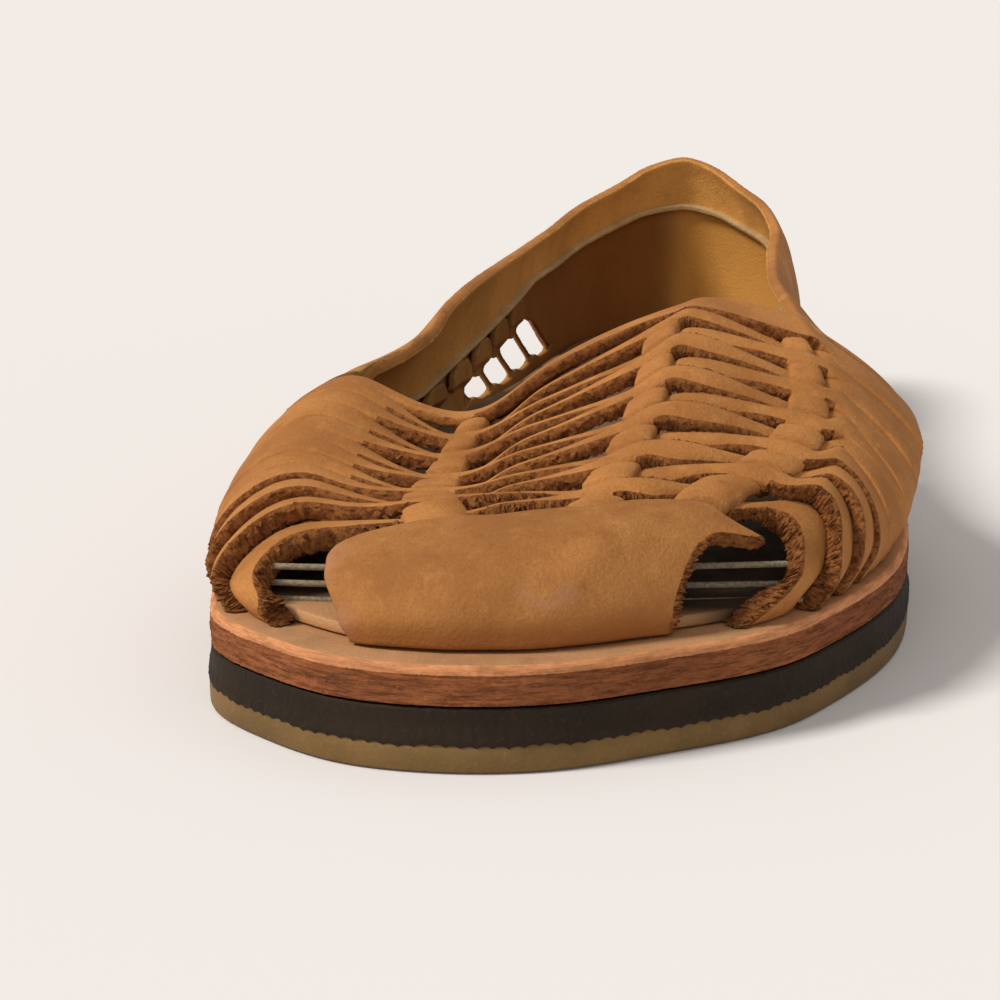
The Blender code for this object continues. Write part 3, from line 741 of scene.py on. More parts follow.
class Finishes:
    """The materials, each made once and kept by name."""

    made = {}
    groups = {"nap": nubuck_group, "fibre": fibre_group, "strata": strata_group}

    @classmethod
    def get(cls, name):
        if name not in cls.made:
            colours = bpy.context.scene.huarache_colours
            cls.made[name] = getattr(cls, name)(colours)
        return cls.made[name]

    @classmethod
    def grouped(cls, name, kind, colours, bump, roughness):
        """A material with the colour and the bump of a shared group, and its parts."""
        if kind not in cls.made:
            cls.made[kind] = cls.groups[kind]()
        material, tree, shader, vector = start_material(name, roughness)
        skin = use_group(tree, cls.made[kind], vector, colours)
        tree.links.new(skin["Color"], shader.inputs["Base Color"])
        add_bump(tree, shader, skin["Height"], bump)
        return material, tree, shader, vector, skin

    @classmethod
    def suede(cls, name, base, shade, light):
        """A napped leather; returns the material with its parts and its colour."""
        colours = {"Base": base, "Shade": shade, "Light": light}
        material, tree, shader, vector, skin = cls.grouped(name, "nap", colours, SUEDE_BUMP, 0.85)
        tree.links.new(skin["Roughness"], shader.inputs["Roughness"])
        return material, tree, shader, vector, skin["Color"]

    @classmethod
    def toned(cls, name, base, low, high):
        """A napped leather whose darker and lighter tones are shares of its base."""
        return cls.suede(name, base, tinted(base, low), tinted(base, high))

    @classmethod
    def layered(cls, name, base, low, high, bump, roughness):
        """Leather with level fibres."""
        colours = {"Dark": tinted(base, low), "Base": base, "Light": tinted(base, high)}
        return cls.grouped(name, "strata", colours, bump, roughness)[0]

    @classmethod
    def spot(cls, tree, vector, centre, size):
        """A soft mask round a place, in metres."""
        kind = "ShaderNodeVectorMath"
        offset = add_node(tree, kind, {0: vector, 1: centre}, operation="SUBTRACT").outputs[0]
        scaled = add_node(tree, kind, {0: offset, 1: size}, operation="DIVIDE").outputs[0]
        far = add_node(tree, kind, {0: scaled}, operation="LENGTH").outputs["Value"]
        return remap(tree, far, 1.0, 0.35)

    @classmethod
    def stain_and_painted_light(cls, tree, under, mask, strength, colour):
        """A colour laid over another where a mask is, at a strength. It lays real stains, scuffs and dust,
        and also painted light and shade.
        """
        return blend_colour(tree, multiply(tree, mask, strength), under, (*colour, 1.0))

    @classmethod
    def nubuck(cls, colours):
        """Grain side of the upper."""
        return cls.suede("Camel nubuck", colours.nubuck, colours.nubuck_shade, colours.nubuck_light)[0]

    @classmethod
    def quarter(cls, colours):
        """Olive brown leather of the quarters."""
        return cls.toned("Quarter leather", colours.quarter, 0.5, 1.25)[0]

    @classmethod
    def inside(cls, colours):
        """Inner face of the quarters, with painted shade on the medial side of the heel and painted light on
        the lateral side opposite.
        The masks fade between places in metres, across and along the shoe."""
        material, tree, shader, vector, colour = cls.toned("Quarter lining", colours.quarter, 0.5, 1.25)
        at = add_node(tree, "ShaderNodeSeparateXYZ", {0: vector}).outputs
        # Painted light on the lateral inner wall of the heel, where the key light falls.
        painted_light = multiply(tree, remap(tree, at["X"], -0.003, 0.006), remap(tree, at["Y"], 0.04, 0.10))
        colour = cls.stain_and_painted_light(tree, colour, painted_light, 0.8, tinted(colours.quarter, 1.45, 1.45, 1.1))
        # Painted shade on the medial inner wall of the heel.
        painted_shade = multiply(tree, remap(tree, at["X"], 0.004, -0.005), remap(tree, at["Y"], 0.02, 0.08))
        colour = cls.stain_and_painted_light(tree, colour, painted_shade, 0.8, tinted(colours.quarter, 0.40, 0.30, 0.20))
        tree.links.new(colour, shader.inputs["Base Color"])
        return material

    @classmethod
    def collar_inside(cls, colours):
        """Flesh side of the collar strap, lighter than the quarter leather: partly the flesh side's own
        colour and partly painted light on a face that lies in shade.
        """
        return cls.toned("Collar flesh side", tinted(colours.quarter, 1.45, 1.45, 1.30), 0.6, 1.2)[0]

    @classmethod
    def pale_edge(cls, colours):
        """Light edge of the lining under the collar strap."""
        return cls.toned("Pale cut edge", colours.pale_edge, 0.55, 1.3)[0]

    @classmethod
    def band(cls, colours):
        """Nubuck of the toe band, with painted shade along its lower edge, and with scuffs and stains."""
        base = (colours.nubuck, colours.nubuck_shade, colours.nubuck_light)
        base = [tinted(tone, 0.86) for tone in base]
        material, tree, shader, vector, colour = cls.suede("Toe band nubuck", *base)
        height = add_node(tree, "ShaderNodeSeparateXYZ", {0: vector}).outputs["Z"]
        cloud = noise(tree, vector, 150.0, 6.0, 0.7)
        # Painted shade: the band darkens towards its lower edge by the sole, mottled by noise.
        low = remap(tree, height, SOLE_TOP + 0.0075, SOLE_TOP + 0.0010)
        low = multiply(tree, low, remap(tree, cloud, 0.15, 0.5))
        colour = cls.stain_and_painted_light(tree, colour, low, 0.92, colours.nubuck_shade)
        kinds = ((BAND_SCUFFS, 0.42, 0.58, colours.scuff), (BAND_STAINS, 0.45, 0.62, colours.nubuck_shade))
        for marks, thin, full, tone in kinds:
            for centre, size, strength in marks:
                mark = multiply(tree, cls.spot(tree, vector, centre, size), remap(tree, cloud, thin, full))
                colour = cls.stain_and_painted_light(tree, colour, mark, strength, tone)
        tree.links.new(colour, shader.inputs["Base Color"])
        return material

    @classmethod
    def raw_edge(cls, colours):
        """Cut edges of the straps."""
        tones = {"Dark": colours.raw_dark, "Base": colours.raw_edge, "Tuft": colours.raw_tuft}
        return cls.grouped("Raw cut edge", "fibre", tones, 0.0007, 0.95)[0]

    @classmethod
    def sole_side(cls, colours):
        """Cut side of the thick sole leather."""
        return cls.layered("Sole leather side", colours.sole_side, 0.38, 1.75, 0.0006, 0.85)

    @classmethod
    def sole_rim_highlight(cls, colours):
        """Rounded rim of the sole leather, lighter and more orange than its side: a painted highlight."""
        base = tuple(a * 0.70 + b * 0.95 for a, b in zip(colours.sole_top, colours.sole_side))
        return cls.layered("Sole leather rim", base, 0.6, 1.4, 0.0003, 0.7)

    @classmethod
    def sole_top(cls, colours):
        """Smooth top of the thick sole leather."""
        base = colours.sole_top
        tones = {"Base": base, "Shade": tinted(base, 0.6), "Light": tinted(base, 1.35)}
        return cls.grouped("Sole leather top", "nap", tones, 0.00015, 0.75)[0]

    @classmethod
    def black(cls, colours):
        """Black rubber with a dusty, slightly uneven face."""
        return cls.rubber("Black rubber", colours.black, 0.68)

    @classmethod
    def tan(cls, colours):
        """Smooth tan rubber."""
        return cls.rubber("Tan rubber", colours.tan, 0.55)

    @classmethod
    def rubber(cls, name, colour, roughness):
        material, tree, shader, vector = start_material(name, roughness)
        cloud = noise(tree, vector, 60.0, 5.0, 0.6)
        speck = noise(tree, vector, 1400.0, 4.0, 0.7)
        dust = [min(1.0, 1.25 * c + 0.01) for c in colour]
        dark = (*tinted(colour, 0.75), 1.0)
        mixed = blend_colour(tree, remap(tree, cloud, 0.35, 0.65), dark, (*colour, 1.0))
        mixed = cls.stain_and_painted_light(tree, mixed, remap(tree, speck, 0.5, 0.75), 0.6, dust)
        tree.links.new(mixed, shader.inputs["Base Color"])
        add_bump(tree, shader, speck, 0.00015)
        return material

    @classmethod
    def lining(cls, colours):
        """Footbed leather with painted shade under the weave, darker towards the toe, and pale at its very
        tip.
        """
        material, tree, shader, vector, colour = cls.toned("Footbed leather", colours.lining, 0.55, 1.3)
        along = add_node(tree, "ShaderNodeSeparateXYZ", {0: vector}).outputs["Y"]
        # Painted shade: the footbed grows darker towards the toe, under the weave.
        painted_toe_shade = remap(tree, along, -0.02, -0.08)
        colour = cls.stain_and_painted_light(tree, colour, painted_toe_shade, 0.85, tinted(colours.lining, 0.12))
        colour = blend_colour(tree, remap(tree, along, -0.114, -0.122), colour, (*colours.sole_top, 1.0))
        tree.links.new(colour, shader.inputs["Base Color"])
        return material

    @classmethod
    def light_streak_cord(cls, colours):
        """Twisted thread of the thin cords. Their pale colour is painted light: the cords stand in for
        streaks of light that fall through the weave.
        """
        material, tree, shader, vector = start_material("Waxed cord", 0.7)
        twist = noise(tree, vector, 1800.0, 3.0, 0.6)
        dark = (*tinted(colours.light_streak_cord, 0.6), 1.0)
        mixed = blend_colour(tree, remap(tree, twist, 0.35, 0.6), dark, (*colours.light_streak_cord, 1.0))
        tree.links.new(mixed, shader.inputs["Base Color"])
        add_bump(tree, shader, twist, 0.0002)
        return material

    @classmethod
    def floor(cls, colours):
        """Matt pale floor."""
        material, _, shader, _ = start_material("Pale floor", 0.95)
        shader.inputs["Specular IOR Level"].default_value = 0.0
        shader.inputs["Base Color"].default_value = (*colours.floor, 1.0)
        return material


def add_upper(name, points, paint, *finishes):
    """Makes a piece of the upper from its rings of points."""
    piece = shape_grid(name, points, paint, [Finishes.get(finish) for finish in finishes])
    finish_piece(piece, "upper")


def edge_paint(loop):
    """True for the faces on the cut edges of a strap."""
    return loop[3] | np.roll(loop[3], -1)


class HUARACHE_OT_toe_band(bpy.types.Operator):
    """Add the wide toe band with its raw right end"""

    bl_idname = "huarache.toe_band"
    bl_label = "Toe band"

    def execute(self, context):
        sizes = context.scene.huarache_sizes
        loop = strap_loop(*BAND_ROUND)
        way = np.linspace(0.0, 1.0, BAND_RINGS)
        edges = row_spline(BAND_EDGES, way)

        def bend(long, key):
            back = row_spline(BAND_BACK, key.ravel()).reshape(key.shape)
            return back + (1 - back) * long

        def top(along, across):
            lumps = 0.00016 * np.sin(across * 9 + along * 3) * np.sin(along * 5 + across * 4)
            foot = smooth_step((along - 0.86) / 0.14) * 0.0007
            back = (1 - smooth_step(along / 0.10)) * 0.0004
            return sizes.band_rise + lumps - foot - back

        half = (edges[:, 1] - edges[:, 0]) / 2
        points = lay_strap(
            BAND, way, edges.mean(axis=1), half, top, sizes.band_thickness, loop, bend=bend,
            fuzz=sizes.edge_fuzz * 2.2 * (loop[0] > 0), seed=12, ends=0.0009,
        )
        keep_above_sole(points)
        right_edge = edge_paint((0, 0, 0, loop[3] & (loop[0] > 0)))
        add_upper("toe_band", points, right_edge, "band", "raw_edge")
        return {"FINISHED"}


class HUARACHE_OT_cross_strips(bpy.types.Operator):
    """Add the strips that cross the forefoot, and the wide strap at the throat"""

    bl_idname = "huarache.cross_strips"
    bl_label = "Cross strips"

    # How near to each finger the strips' edges are smooth, in keys
    smooth_reach = (0.13, 0.24, 0.24)

    # Key lines where the left and right flanks end, and how far they fade out
    left_flank = (2.15, 0.55)
    right_flank = (7.75, 0.45)

    # Height that a strip's edges differ by in the middle of the weave, and wander of its course
    tilt = 0.0009
    sway = 0.07

    def execute(self, context):
        for number in range(STRIPS):
            self.strip(context, number)
        self.throat(context)
        return {"FINISHED"}

    def finish(self, name, points, paint):
        keep_above_sole(points)
        add_upper(name, points, paint, "nubuck", "raw_edge")

    def strip(self, context, number):
        sizes = context.scene.huarache_sizes
        random = np.random.default_rng(100 + number)
        loop = strap_loop(*STRIP_ROUND)
        key = np.linspace(0.0, LAST_KEY, STRIP_RINGS)
        place_along = FIRST_STRIP + number * PITCH
        crossings = [np.interp(place_along, *zip(*path)) for path in FINGER_PATHS]
        there, here = [(0, 2.0, *middle, 8.0, LAST_KEY) for middle in (crossings, FINGER_KEYS)]
        course_key = np.interp(key, there, here)
        width, mean, tilt, drop, thick, weave, slant = row_spline(STRIP_COURSE, course_key).T
        weave = weave * (1 if number % 2 == 0 else -1)
        shift, raised, flank_tilt, flank_thick, flank_width = FLANKS[min(number, len(FLANKS) - 1)]
        (left, left_fade), (right, right_fade) = self.left_flank, self.right_flank
        flank = 1 - smooth_step((key - left) / left_fade) * smooth_step((right - key) / right_fade)
        tilt = tilt * (self.tilt + (flank_tilt - self.tilt) * flank)
        thick = sizes.strip_thickness * thick
        thick = thick + (flank_thick - thick) * flank
        mean = mean + raised * flank
        width = width + (flank_width - width) * flank
        sway = smooth_noise(random, len(key), 60) * self.sway * PITCH
        centre = place_along + shift * flank + slant + sway
        if number == 0:
            centre = centre - 0.05 * smooth_step((7.5 - key) / 0.4) * smooth_step((key - 6.9) / 0.2)
            centre = centre + 0.04 * (1 - smooth_step((key - 0.3) / 0.8))
        half = PITCH * width / 2 * (1 + 0.06 * smooth_noise(random, len(key), 45) + 0.06 * weave)
        ripple = smooth_noise(random, len(key), 30) * 0.00015

        def top(along, across):
            height = mean + weave * sizes.weave_depth + ripple
            return height[:, None] - tilt[:, None] * across - drop[:, None] * across ** 2

        reach = zip(FINGER_KEYS, self.smooth_reach)
        near = np.min([np.abs(course_key - spot) - room for spot, room in reach], axis=0)
        raw = (near > 0) & ~((flank > 0.5) & (number >= 4))
        rough = sizes.edge_fuzz * (1.9 if number < 2 else 1.1) * (0.05 + 0.95 * raw[:, None])
        seed = 200 + number
        points = lay_strap(WEAVE, key, centre, half, top, thick, loop, swap=True, fuzz=rough, seed=seed)
        self.finish(f"strip_{number + 1:02d}", points, edge_paint(loop) & raw[:, None])

    def throat(self, context):
        sizes = context.scene.huarache_sizes
        random = np.random.default_rng(140)
        loop = strap_loop(*THROAT_ROUND)
        key = np.linspace(0.0, LAST_KEY, STRIP_RINGS)
        in_middle = smooth_step((key - 2.3) / 0.8) * smooth_step((8.1 - key) / 0.8)
        start = 0.875 - 0.02 * smooth_step((key - 4.8) / 0.6) + smooth_noise(random, len(key), 60) * 0.006
        end = row_spline(THROAT_END, key)[:, 0]
        centre = (start + end) / 2
        half = (end - start) / 2
        ripple = smooth_noise(random, len(key), 40) * 0.0002

        def top(along, across):
            height = 0.0007 + in_middle * sizes.weave_depth + ripple
            roll = np.clip(across - 0.20, 0, 1) ** 2 * 0.0026
            return height[:, None] - 0.0003 * across - roll

        points = lay_strap(
            WEAVE, key, centre, half, top, sizes.strip_thickness, loop, swap=True,
            fuzz=sizes.edge_fuzz * 0.7, seed=141,
        )
        shown = (key > 3.1) & (key < 7.6)
        self.finish("throat_strap", points, edge_paint(loop) & shown[:, None])


class HUARACHE_OT_fingers(bpy.types.Operator):
    """Add the three lengthwise fingers that grow out of the toe band"""

    bl_idname = "huarache.fingers"
    bl_label = "Fingers"

    # Place along of their hidden ends, under the toe band and under the throat strap
    first = -0.13
    last = 0.955

    def execute(self, context):
        sizes = context.scene.huarache_sizes
        loop = strap_loop(*FINGER_ROUND)
        for number, (path, ends, root) in enumerate(zip(FINGER_PATHS, FINGER_HALF, FINGER_ROOT)):
            u = np.linspace(self.first, self.last, STRIP_RINGS)
            row = (u - FIRST_STRIP) / PITCH
            wave = np.cos(math.pi * row) * (1 if number == 1 else -1)
            wave = np.clip(1.5 * (0.3 - wave), -1, 1)
            root_part = smooth_step((0.03 - u) / 0.07)
            end = smooth_step((u - 0.87) / 0.04)
            wave = wave * (1 - end) - end
            half = np.interp(u, (0.0, 1.0), ends) * (1.05 + 0.16 * wave * (1 - root_part) + 0.4 * root_part)
            centre = row_spline(path, u)[:, 0]
            sunk = smooth_step((-0.085 - u) / 0.03) * 0.0010

            def top(along, across):
                over = 0.0005 + wave * sizes.weave_depth
                start = sizes.band_rise + root
                height = over + (start - over) * root_part - sunk
                bow = 0.0009 + 0.0003 * root_part
                return height[:, None] - bow[:, None] * across ** 2

            points = lay_strap(
                WEAVE, u, centre, half, top, sizes.finger_thickness, loop, fuzz=sizes.edge_fuzz * 0.4,
                seed=300 + number, ends=0.0006,
            )
            add_upper(f"finger_{number + 1}", points, 0, "nubuck")
        return {"FINISHED"}


class HUARACHE_OT_quarters(bpy.types.Operator):
    """Add the quarters, the strips between their holes, the heel and the collar strap"""

    bl_idname = "huarache.quarters"
    bl_label = "Quarters and collar"

    # Strips a side, their pitch and the place of the last, as shares of the way to the heel, how
    # far they lean, and where the first open hole begins
    side_strips = 9
    side_pitch = 0.0775
    last_strip = 0.645
    lean = 3.0
    first_hole = 0.347

    # Half height of the pale lining edge under the collar strap, as a share of the wall's height
    edge_half = 0.016

    def execute(self, context):
        self.wall(context)
        self.base(context)
        self.uprights(context)
        self.collar(context)
        return {"FINISHED"}

    def wrap(self, name, points, loop, outer="quarter", inner="inside"):
        """A piece whose inner face has a finish of its own."""
        keep_above_sole(points)
        add_upper(name, points, loop[2] > 0.6, outer, inner)

    def closed(self, way):
        """1 in the closed heel, 0 where the quarters are open."""
        return np.clip((way - self.last_strip + 0.044) / 0.107, 0.0, 1.0)

    def scallop(self, way, end):
        """1 at the strips and 0 at the middle of a hole. End is 1 for the holes' upper ends and -1
        for their lower ends."""
        span = (self.window_high(way) - self.window_low(way)) / 2
        place = way + end * self.lean * self.side_pitch * span
        return 0.5 + 0.5 * np.cos(2 * math.pi * (self.last_strip - place) / self.side_pitch)

    def window_low(self, way):
        return 0.04 + 0.16 * np.clip(way - 0.33, 0, 0.27)

    def window_high(self, way):
        return 0.215 + 0.90 * np.clip(way - 0.33, 0, 0.27) - 0.5 * np.clip(0.33 - way, 0, 0.25)

    def collar_low(self, way):
        return 0.335 + 0.95 * np.clip(way - 0.20, 0, 0.385)

    def wall(self, context):
        """Upper part of both quarters, down to the sole round the heel."""
        loop = strap_loop(*WALL_ROUND)
        v = np.linspace(0.0, 2.0, WALL_RINGS)
        way = np.minimum(v, 2 - v)
        closed = self.closed(way)
        scallop = self.scallop(way, 1)
        no_hole = smooth_step((self.first_hole - way) / 0.02)
        low = (self.window_high(way) - 0.06 * scallop ** 2) * (1 - closed) * (1 - no_hole)
        high = 0.97 + (self.collar_low(way) + 0.03 - 0.97) * smooth_step((way - 0.12) / 0.08)
        centre = (low + high) / 2
        half = (high - low) / 2

        def top(along, across):
            groove = scallop ** 6 * 0.0004 * (1 - closed)
            return (0.0004 + 0.0004 * closed - groove)[:, None] + 0 * across

        thick = 0.0013 + 0.0010 * closed
        points = lay_strap(QUARTERS, v, centre, half, top, thick, loop, fuzz=0.00004, seed=400)
        self.wrap("quarter_wall", points, loop)

    def base(self, context):
        """Low strap along the sole under each row of holes."""
        loop = strap_loop(*SIDE_ROUND)
        for name, start, end in (("base_left", 0.0, 0.72), ("base_right", 1.28, 2.0)):
            v = np.linspace(start, end, BASE_RINGS)
            way = np.minimum(v, 2 - v)
            centre = (self.window_low(way) + 0.04 * self.scallop(way, -1) ** 2) / 2
            points = lay_strap(
                QUARTERS, v, centre, centre, lambda along, across: 0.0003 + 0 * across, 0.0018, loop,
                fuzz=0.00005, seed=410,
            )
            self.wrap(name, points, loop)

    def uprights(self, context):
        """Slanting strips between the holes, which lie inside the wall above them."""
        loop = strap_loop(*SIDE_ROUND)
        for side in ("left", "right"):
            for number in range(self.side_strips):
                way = self.last_strip - number * self.side_pitch
                tip = self.collar_low(way) - 0.045 if number else self.window_high(way) - 0.01
                share = np.linspace(0.0, tip, UPRIGHT_RINGS)
                low, high = self.window_low(way), self.window_high(way)
                flare_low = smooth_step((low + 0.07 - share) / 0.09)
                flare_high = smooth_step((share - high + 0.09) / 0.11) * (number > 0)
                point = 1 - smooth_step((share - tip + 0.10) / 0.12) * 0.45
                half = self.side_pitch * (0.065 + 0.20 * flare_low + 0.28 * flare_high) * point
                v = way if side == "left" else 2 - way
                span = (high - low) / 2
                slant = self.lean * self.side_pitch * span * np.clip((share - low) / span - 1, -1.1, 1.2)
                slant = slant * (-1 if side == "left" else 1)
                inside = smooth_step((share - high + 0.05) / 0.10)

                def top(along, across):
                    return (0.0001 - 0.0012 * inside)[:, None] - 0.0005 * across ** 2

                points = lay_strap(
                    QUARTERS, share, v + slant, half, top, 0.0007 + 0.0010 * inside, loop, swap=True,
                    fuzz=0.00004, seed=420 + number, ends=0.0006,
                )
                self.wrap(f"upright_{side}_{number + 1}", points, loop)

    def collar(self, context):
        """Flat strap along the top edge of the quarters."""
        loop = strap_loop(*COLLAR_ROUND)
        v = np.linspace(0.0, 2.0, COLLAR_RINGS)
        random = np.random.default_rng(430)
        way = np.minimum(v, 2 - v)
        low = self.collar_low(way) + 0.012 * smooth_noise(random, len(v), 50)
        sunk = (1 - smooth_step(way / 0.045)) * 0.0018
        high = 0.975
        centre = (low + high) / 2
        half = (high - low) / 2

        def top(along, across):
            round_off = 0.0003 * across ** 2 + 0.0004 * np.clip(across, 0, 1) ** 3
            return 0.0009 - sunk[:, None] - round_off

        points = lay_strap(QUARTERS, v, centre, half, top, 0.0025, loop, fuzz=0.00005, seed=431)
        self.wrap("collar_strap", points, loop, "nubuck", "collar_inside")
        loop = strap_loop(*LINING_ROUND)
        half = np.full_like(v, self.edge_half)
        points = lay_strap(
            QUARTERS, v, low + half, half, lambda along, across: -0.0012 + 0 * across, 0.0021, loop,
            fuzz=0.00004, seed=432,
        )
        keep_above_sole(points)
        add_upper("collar_lining_edge", points, 0, "pale_edge")


class HUARACHE_OT_sole(bpy.types.Operator):
    """Add the tan bottom layer, the black layer with its wavy edge, the thick leather layer and the
    footbed"""

    bl_idname = "huarache.sole"
    bl_label = "Sole layers"

    steps = 1800
    scallops = 300

    # How far the layers' flat faces run inwards
    face = 0.012

    def execute(self, context):
        level = 0.0
        self.outsole(level)
        level += OUTSOLE_THICK + CLEAR
        self.midsole(level)
        level += MIDSOLE_THICK + CLEAR
        self.top_sole(level)
        level += TOP_SOLE_THICK + CLEAR
        self.footbed(level)
        return {"FINISHED"}

    def footbed(self, level):
        """Thin leather inside, as cross sections from the toe to the heel, hollowed by the foot's wear."""
        foot, inward = foot_point(GIRTH * np.arange(FOOT_SAMPLES) / FOOT_SAMPLES)
        ring = foot + inward * FOOTBED_INSET
        ring = np.roll(ring, -ring[:, 1].argmin(), axis=0)
        back = ring[:, 1].argmax()
        left, right = ring[:back + 1], np.vstack([ring[back:], ring[:1]])[::-1]
        turn = np.linspace(0.03, math.pi - 0.03, FOOTBED_RINGS)
        station = (ring[0, 1] + ring[back, 1]) / 2 - (ring[back, 1] - ring[0, 1]) / 2 * np.cos(turn)
        low = np.interp(station, left[:, 1], left[:, 0])
        high = np.interp(station, right[:, 1], right[:, 0])
        across, bulge, depth, _ = strap_loop(*FOOTBED_ROUND)
        half = ((high - low) / 2)[:, None]
        soft = np.minimum(0.5 * half, 0.0007)
        side = ((low + high) / 2)[:, None] + across * (half - soft) + bulge * soft
        share = (side - (low + high)[:, None] / 2) / half
        hollow = 0.0002 + 0.0003 * np.exp(-((station - 0.075) / 0.030) ** 2)
        hollow += 0.0004 * np.exp(-((station - 0.245) / 0.025) ** 2)
        height = level + FOOTBED_THICK * (1 - depth) - hollow[:, None] * (1 - share ** 2) * (depth < 0.5)
        station = np.broadcast_to(station[:, None], side.shape)
        points = np.stack([side - MIDDLE_SIDE, station - LENGTH / 2, height + lift(station)], axis=-1)
        piece = shape_grid("footbed_leather", points, 0, [Finishes.get("lining")])
        finish_piece(piece, "footbed")

    def slab(self, name, profile, finishes, node, slot, seed, rough=None, wave=None, paint=None):
        """A layer turned round the outline: profile rows are (inset, height over the floor)."""
        random = np.random.default_rng(seed)
        along = GIRTH * np.arange(self.steps) / self.steps
        points = np.empty((len(profile), self.steps, 3))
        for row, (inset, height) in enumerate(profile):
            jitter = random.normal(0, rough[row], self.steps)
            rise = wave[row] * self.ripples(along) if wave else 0.0
            flat, _ = footprint(along, inset + jitter)
            points[row, :, 0] = flat[:, 0] - MIDDLE_SIDE
            points[row, :, 1] = flat[:, 1] - LENGTH / 2
            points[row, :, 2] = height + rise + lift(flat[:, 1])
        piece = shape_grid(name, points, 0, [Finishes.get(finish) for finish in finishes], 40)
        if paint:
            polygons = piece.data.polygons
            measures = np.empty((2, len(polygons) * 3))
            polygons.foreach_get("center", measures[0])
            polygons.foreach_get("normal", measures[1])
            centres, normals = measures.reshape(2, -1, 3)
            polygons.foreach_set("material_index", paint(centres, normals).astype(int))
            piece.data.update()
        finish_piece(piece, node)

    def ripples(self, along):
        """Small scallops along the lower edge of the black layer."""
        turn = along / GIRTH * 2 * math.pi
        scallops = 0.9 * np.abs(np.sin(turn * self.scallops / 2)) - 0.5
        return scallops + 0.25 * np.sin(turn * 47 + 1.3) + 0.2 * np.sin(turn * 83)

    def outsole(self, level):
        high = level + OUTSOLE_THICK
        out = -OUTSOLE_PROUD
        profile = [(out + self.face, level), (out + 0.0006, level), (out + 0.0002, level + 0.0002)]
        profile += [(out, level + 0.0006), (out - 0.00005, level + OUTSOLE_THICK * 0.55)]
        profile += [(out, high - 0.0005), (out + 0.0003, high), (out + self.face, high)]
        rough = [0] + [0.00001] * 5 + [0, 0]
        self.slab("outsole_rubber", profile, ["tan"], "outsole", "tan_rubber", 500, rough)

    def midsole(self, level):
        high = level + MIDSOLE_THICK
        low = level - 0.0004
        out = -OUTSOLE_PROUD - 0.00015
        profile = [(self.face, level), (0.0005, level), (out + 0.0001, low - 0.0001), (out, low + 0.0003)]
        profile += [(out + 0.0001, low + 0.0010), (-0.0001, level + 0.0014)]
        profile += [(0.0, level + MIDSOLE_THICK * 0.6), (0.0, high - 0.0003)]
        profile += [(0.0003, high), (self.face, high)]
        rough = [0, 0, 0.00003, 0.00004, 0.00004, 0.00003, 0.00003, 0.00003, 0, 0]
        wave = [0, 0, 0.0004, 0.0004, 0.0003, 0.0001, 0, 0, 0, 0]
        self.slab("midsole_rubber", profile, ["black"], "midsole", "black_rubber", 510, rough, wave)

    def top_sole(self, level):
        side_steps = 16
        rim_steps = 5
        high = level + TOP_SOLE_THICK
        side_high = high - RIM_ROUND
        profile = [(self.face, level), (0.0004, level)]
        for share in np.arange(side_steps) / (side_steps - 1):
            height = level + 0.0002 + (TOP_SOLE_THICK - RIM_ROUND - 0.0002) * share
            profile.append((0.0001 * math.sin(share * 9), height))
        for step in range(1, rim_steps + 1):
            turn = math.pi / 2 * step / rim_steps
            profile.append((RIM_ROUND * (1 - math.cos(turn)), high - RIM_ROUND * (1 - math.sin(turn))))
        flat = (0.0022, 0.0040, 0.0060, 0.0085, self.face)
        profile += [(inset, high) for inset in flat]
        rough = [0, 0.00004] + [0.00007] * side_steps + [0.00003] * rim_steps + [0] * len(flat)

        # Slot 2, the rounded rim, gets the painted highlight.
        def paint(centres, normals):
            height = centres[:, 2] - lift(centres[:, 1] + LENGTH / 2)
            rim = (height > side_high - 0.0002) & (normals[:, 2] < 0.97)
            top = (normals[:, 2] >= 0.97) & (height > side_high)
            return np.where(top, 1, np.where(rim, 2, 0))

        finishes = ["sole_side", "sole_top", "sole_rim_highlight"]
        self.slab("sole_leather", profile, finishes, "top_sole", "sole_leather", 520, rough, paint=paint)


class HUARACHE_OT_toe_light_streak_cords(bpy.types.Operator):
    """Add the thin pale cords that show in the toe's openings. They stand in for streaks of light that fall
    through the gaps of the weave, so they are painted light
    """

    bl_idname = "huarache.toe_cords"
    bl_label = "Toe cords"

    # Height of each cord over the sole at its left and right end
    heights = ((0.0072, 0.0071), (0.0047, 0.0040), (0.0022, 0.0015))

    def execute(self, context):
        radius = context.scene.huarache_sizes.cord_diameter / 2
        turns = np.linspace(0, 2 * math.pi, CORD_ROUND + 1)[:-1]
        share = np.linspace(0, 1, CORD_RINGS)
        side = -0.0385 + 0.0800 * share
        station = 0.0225 + 0.0135 * share ** 1.5
        for number, (left, right) in enumerate(self.heights):
            middle = place(side, station, left + (right - left) * share)
            points = np.repeat(middle[:, None], CORD_ROUND, axis=1)
            points[..., 1] += np.cos(turns) * radius
            points[..., 2] += np.sin(turns) * radius
            add_upper(f"toe_light_streak_cord_{number + 1}", points, 0, "light_streak_cord")
        return {"FINISHED"}


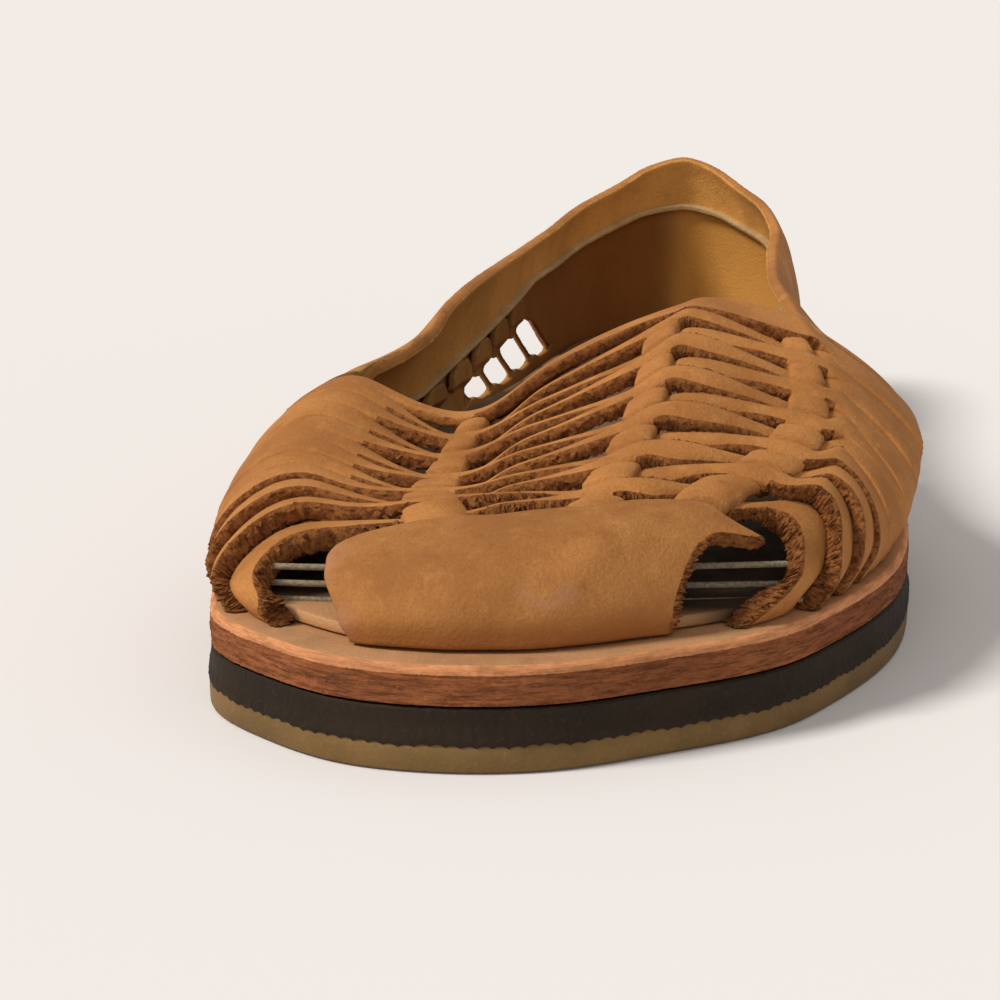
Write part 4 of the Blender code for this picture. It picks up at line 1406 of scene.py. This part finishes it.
class HUARACHE_OT_stage(bpy.types.Operator):
    """Add the pale floor, the soft light and the camera"""

    bl_idname = "huarache.stage"
    bl_label = "Stage"

    def execute(self, context):
        bpy.ops.object.select_all(action="DESELECT")
        bpy.ops.mesh.primitive_plane_add(size=60, location=(0, 0, 0))
        floor = context.object
        floor.name = "floor"
        floor.data.materials.append(Finishes.get("floor"))
        self.sun("Key light", (0.62, 0.30, -0.72), 2.6, 16, (1.0, 0.955, 0.89))
        self.sun("Front light", (-0.15, 0.75, -0.35), 0.45, 60, (1.0, 0.97, 0.93))
        world = bpy.data.worlds.new("Soft room")
        world.use_nodes = True
        background = world.node_tree.nodes["Background"]
        background.inputs["Color"].default_value = (1.0, 0.975, 0.94, 1.0)
        background.inputs["Strength"].default_value = 0.42
        context.scene.world = world
        context.scene.view_settings.view_transform = "Standard"
        bpy.ops.object.camera_add(location=CAMERA_PLACE, rotation=[math.radians(a) for a in CAMERA_TURN])
        camera = context.object
        camera.name = "Photo camera"
        camera.data.lens = CAMERA_LENS
        camera.data.sensor_width = 36
        camera.data.clip_start = 0.01
        camera.data.clip_end = 200
        camera.data.dof.use_dof = False
        context.scene.camera = camera
        return {"FINISHED"}

    def sun(self, name, way, strength, spread, colour):
        """A soft sun whose light travels along way, with its spread in degrees."""
        turn = Vector(way).to_track_quat("-Z", "Y").to_euler()
        bpy.ops.object.light_add(type="SUN", location=(0, 0, 1), rotation=turn)
        light = bpy.context.object
        light.name = name
        light.data.energy = strength
        light.data.angle = math.radians(spread)
        light.data.color = colour


class HUARACHE_PT_panel(bpy.types.Panel):
    """Buttons for the sandal's pieces"""

    bl_label = "Huarache"
    bl_idname = "HUARACHE_PT_panel"
    bl_space_type = "VIEW_3D"
    bl_region_type = "UI"
    bl_category = "Huarache"

    def draw(self, context):
        for group in (context.scene.huarache_sizes, context.scene.huarache_colours):
            for name in group.__annotations__:
                self.layout.prop(group, name)
        for operator in OPERATORS:
            self.layout.operator(operator.bl_idname)


OPERATORS = (
    HUARACHE_OT_stage,
    HUARACHE_OT_sole,
    HUARACHE_OT_quarters,
    HUARACHE_OT_cross_strips,
    HUARACHE_OT_fingers,
    HUARACHE_OT_toe_band,
    HUARACHE_OT_toe_light_streak_cords,
)
CLASSES = (HuaracheSizes, HuaracheColours, *OPERATORS, HUARACHE_PT_panel)


def register():
    for item in CLASSES:
        bpy.utils.register_class(item)
    bpy.types.Scene.huarache_sizes = PointerProperty(type=HuaracheSizes)
    bpy.types.Scene.huarache_colours = PointerProperty(type=HuaracheColours)


def unregister():
    del bpy.types.Scene.huarache_colours
    del bpy.types.Scene.huarache_sizes
    for item in reversed(CLASSES):
        bpy.utils.unregister_class(item)


def main():
    register()
    for operator in OPERATORS:
        group, name = operator.bl_idname.split(".")
        getattr(getattr(bpy.ops, group), name)()


if __name__ == "__main__":
    main()
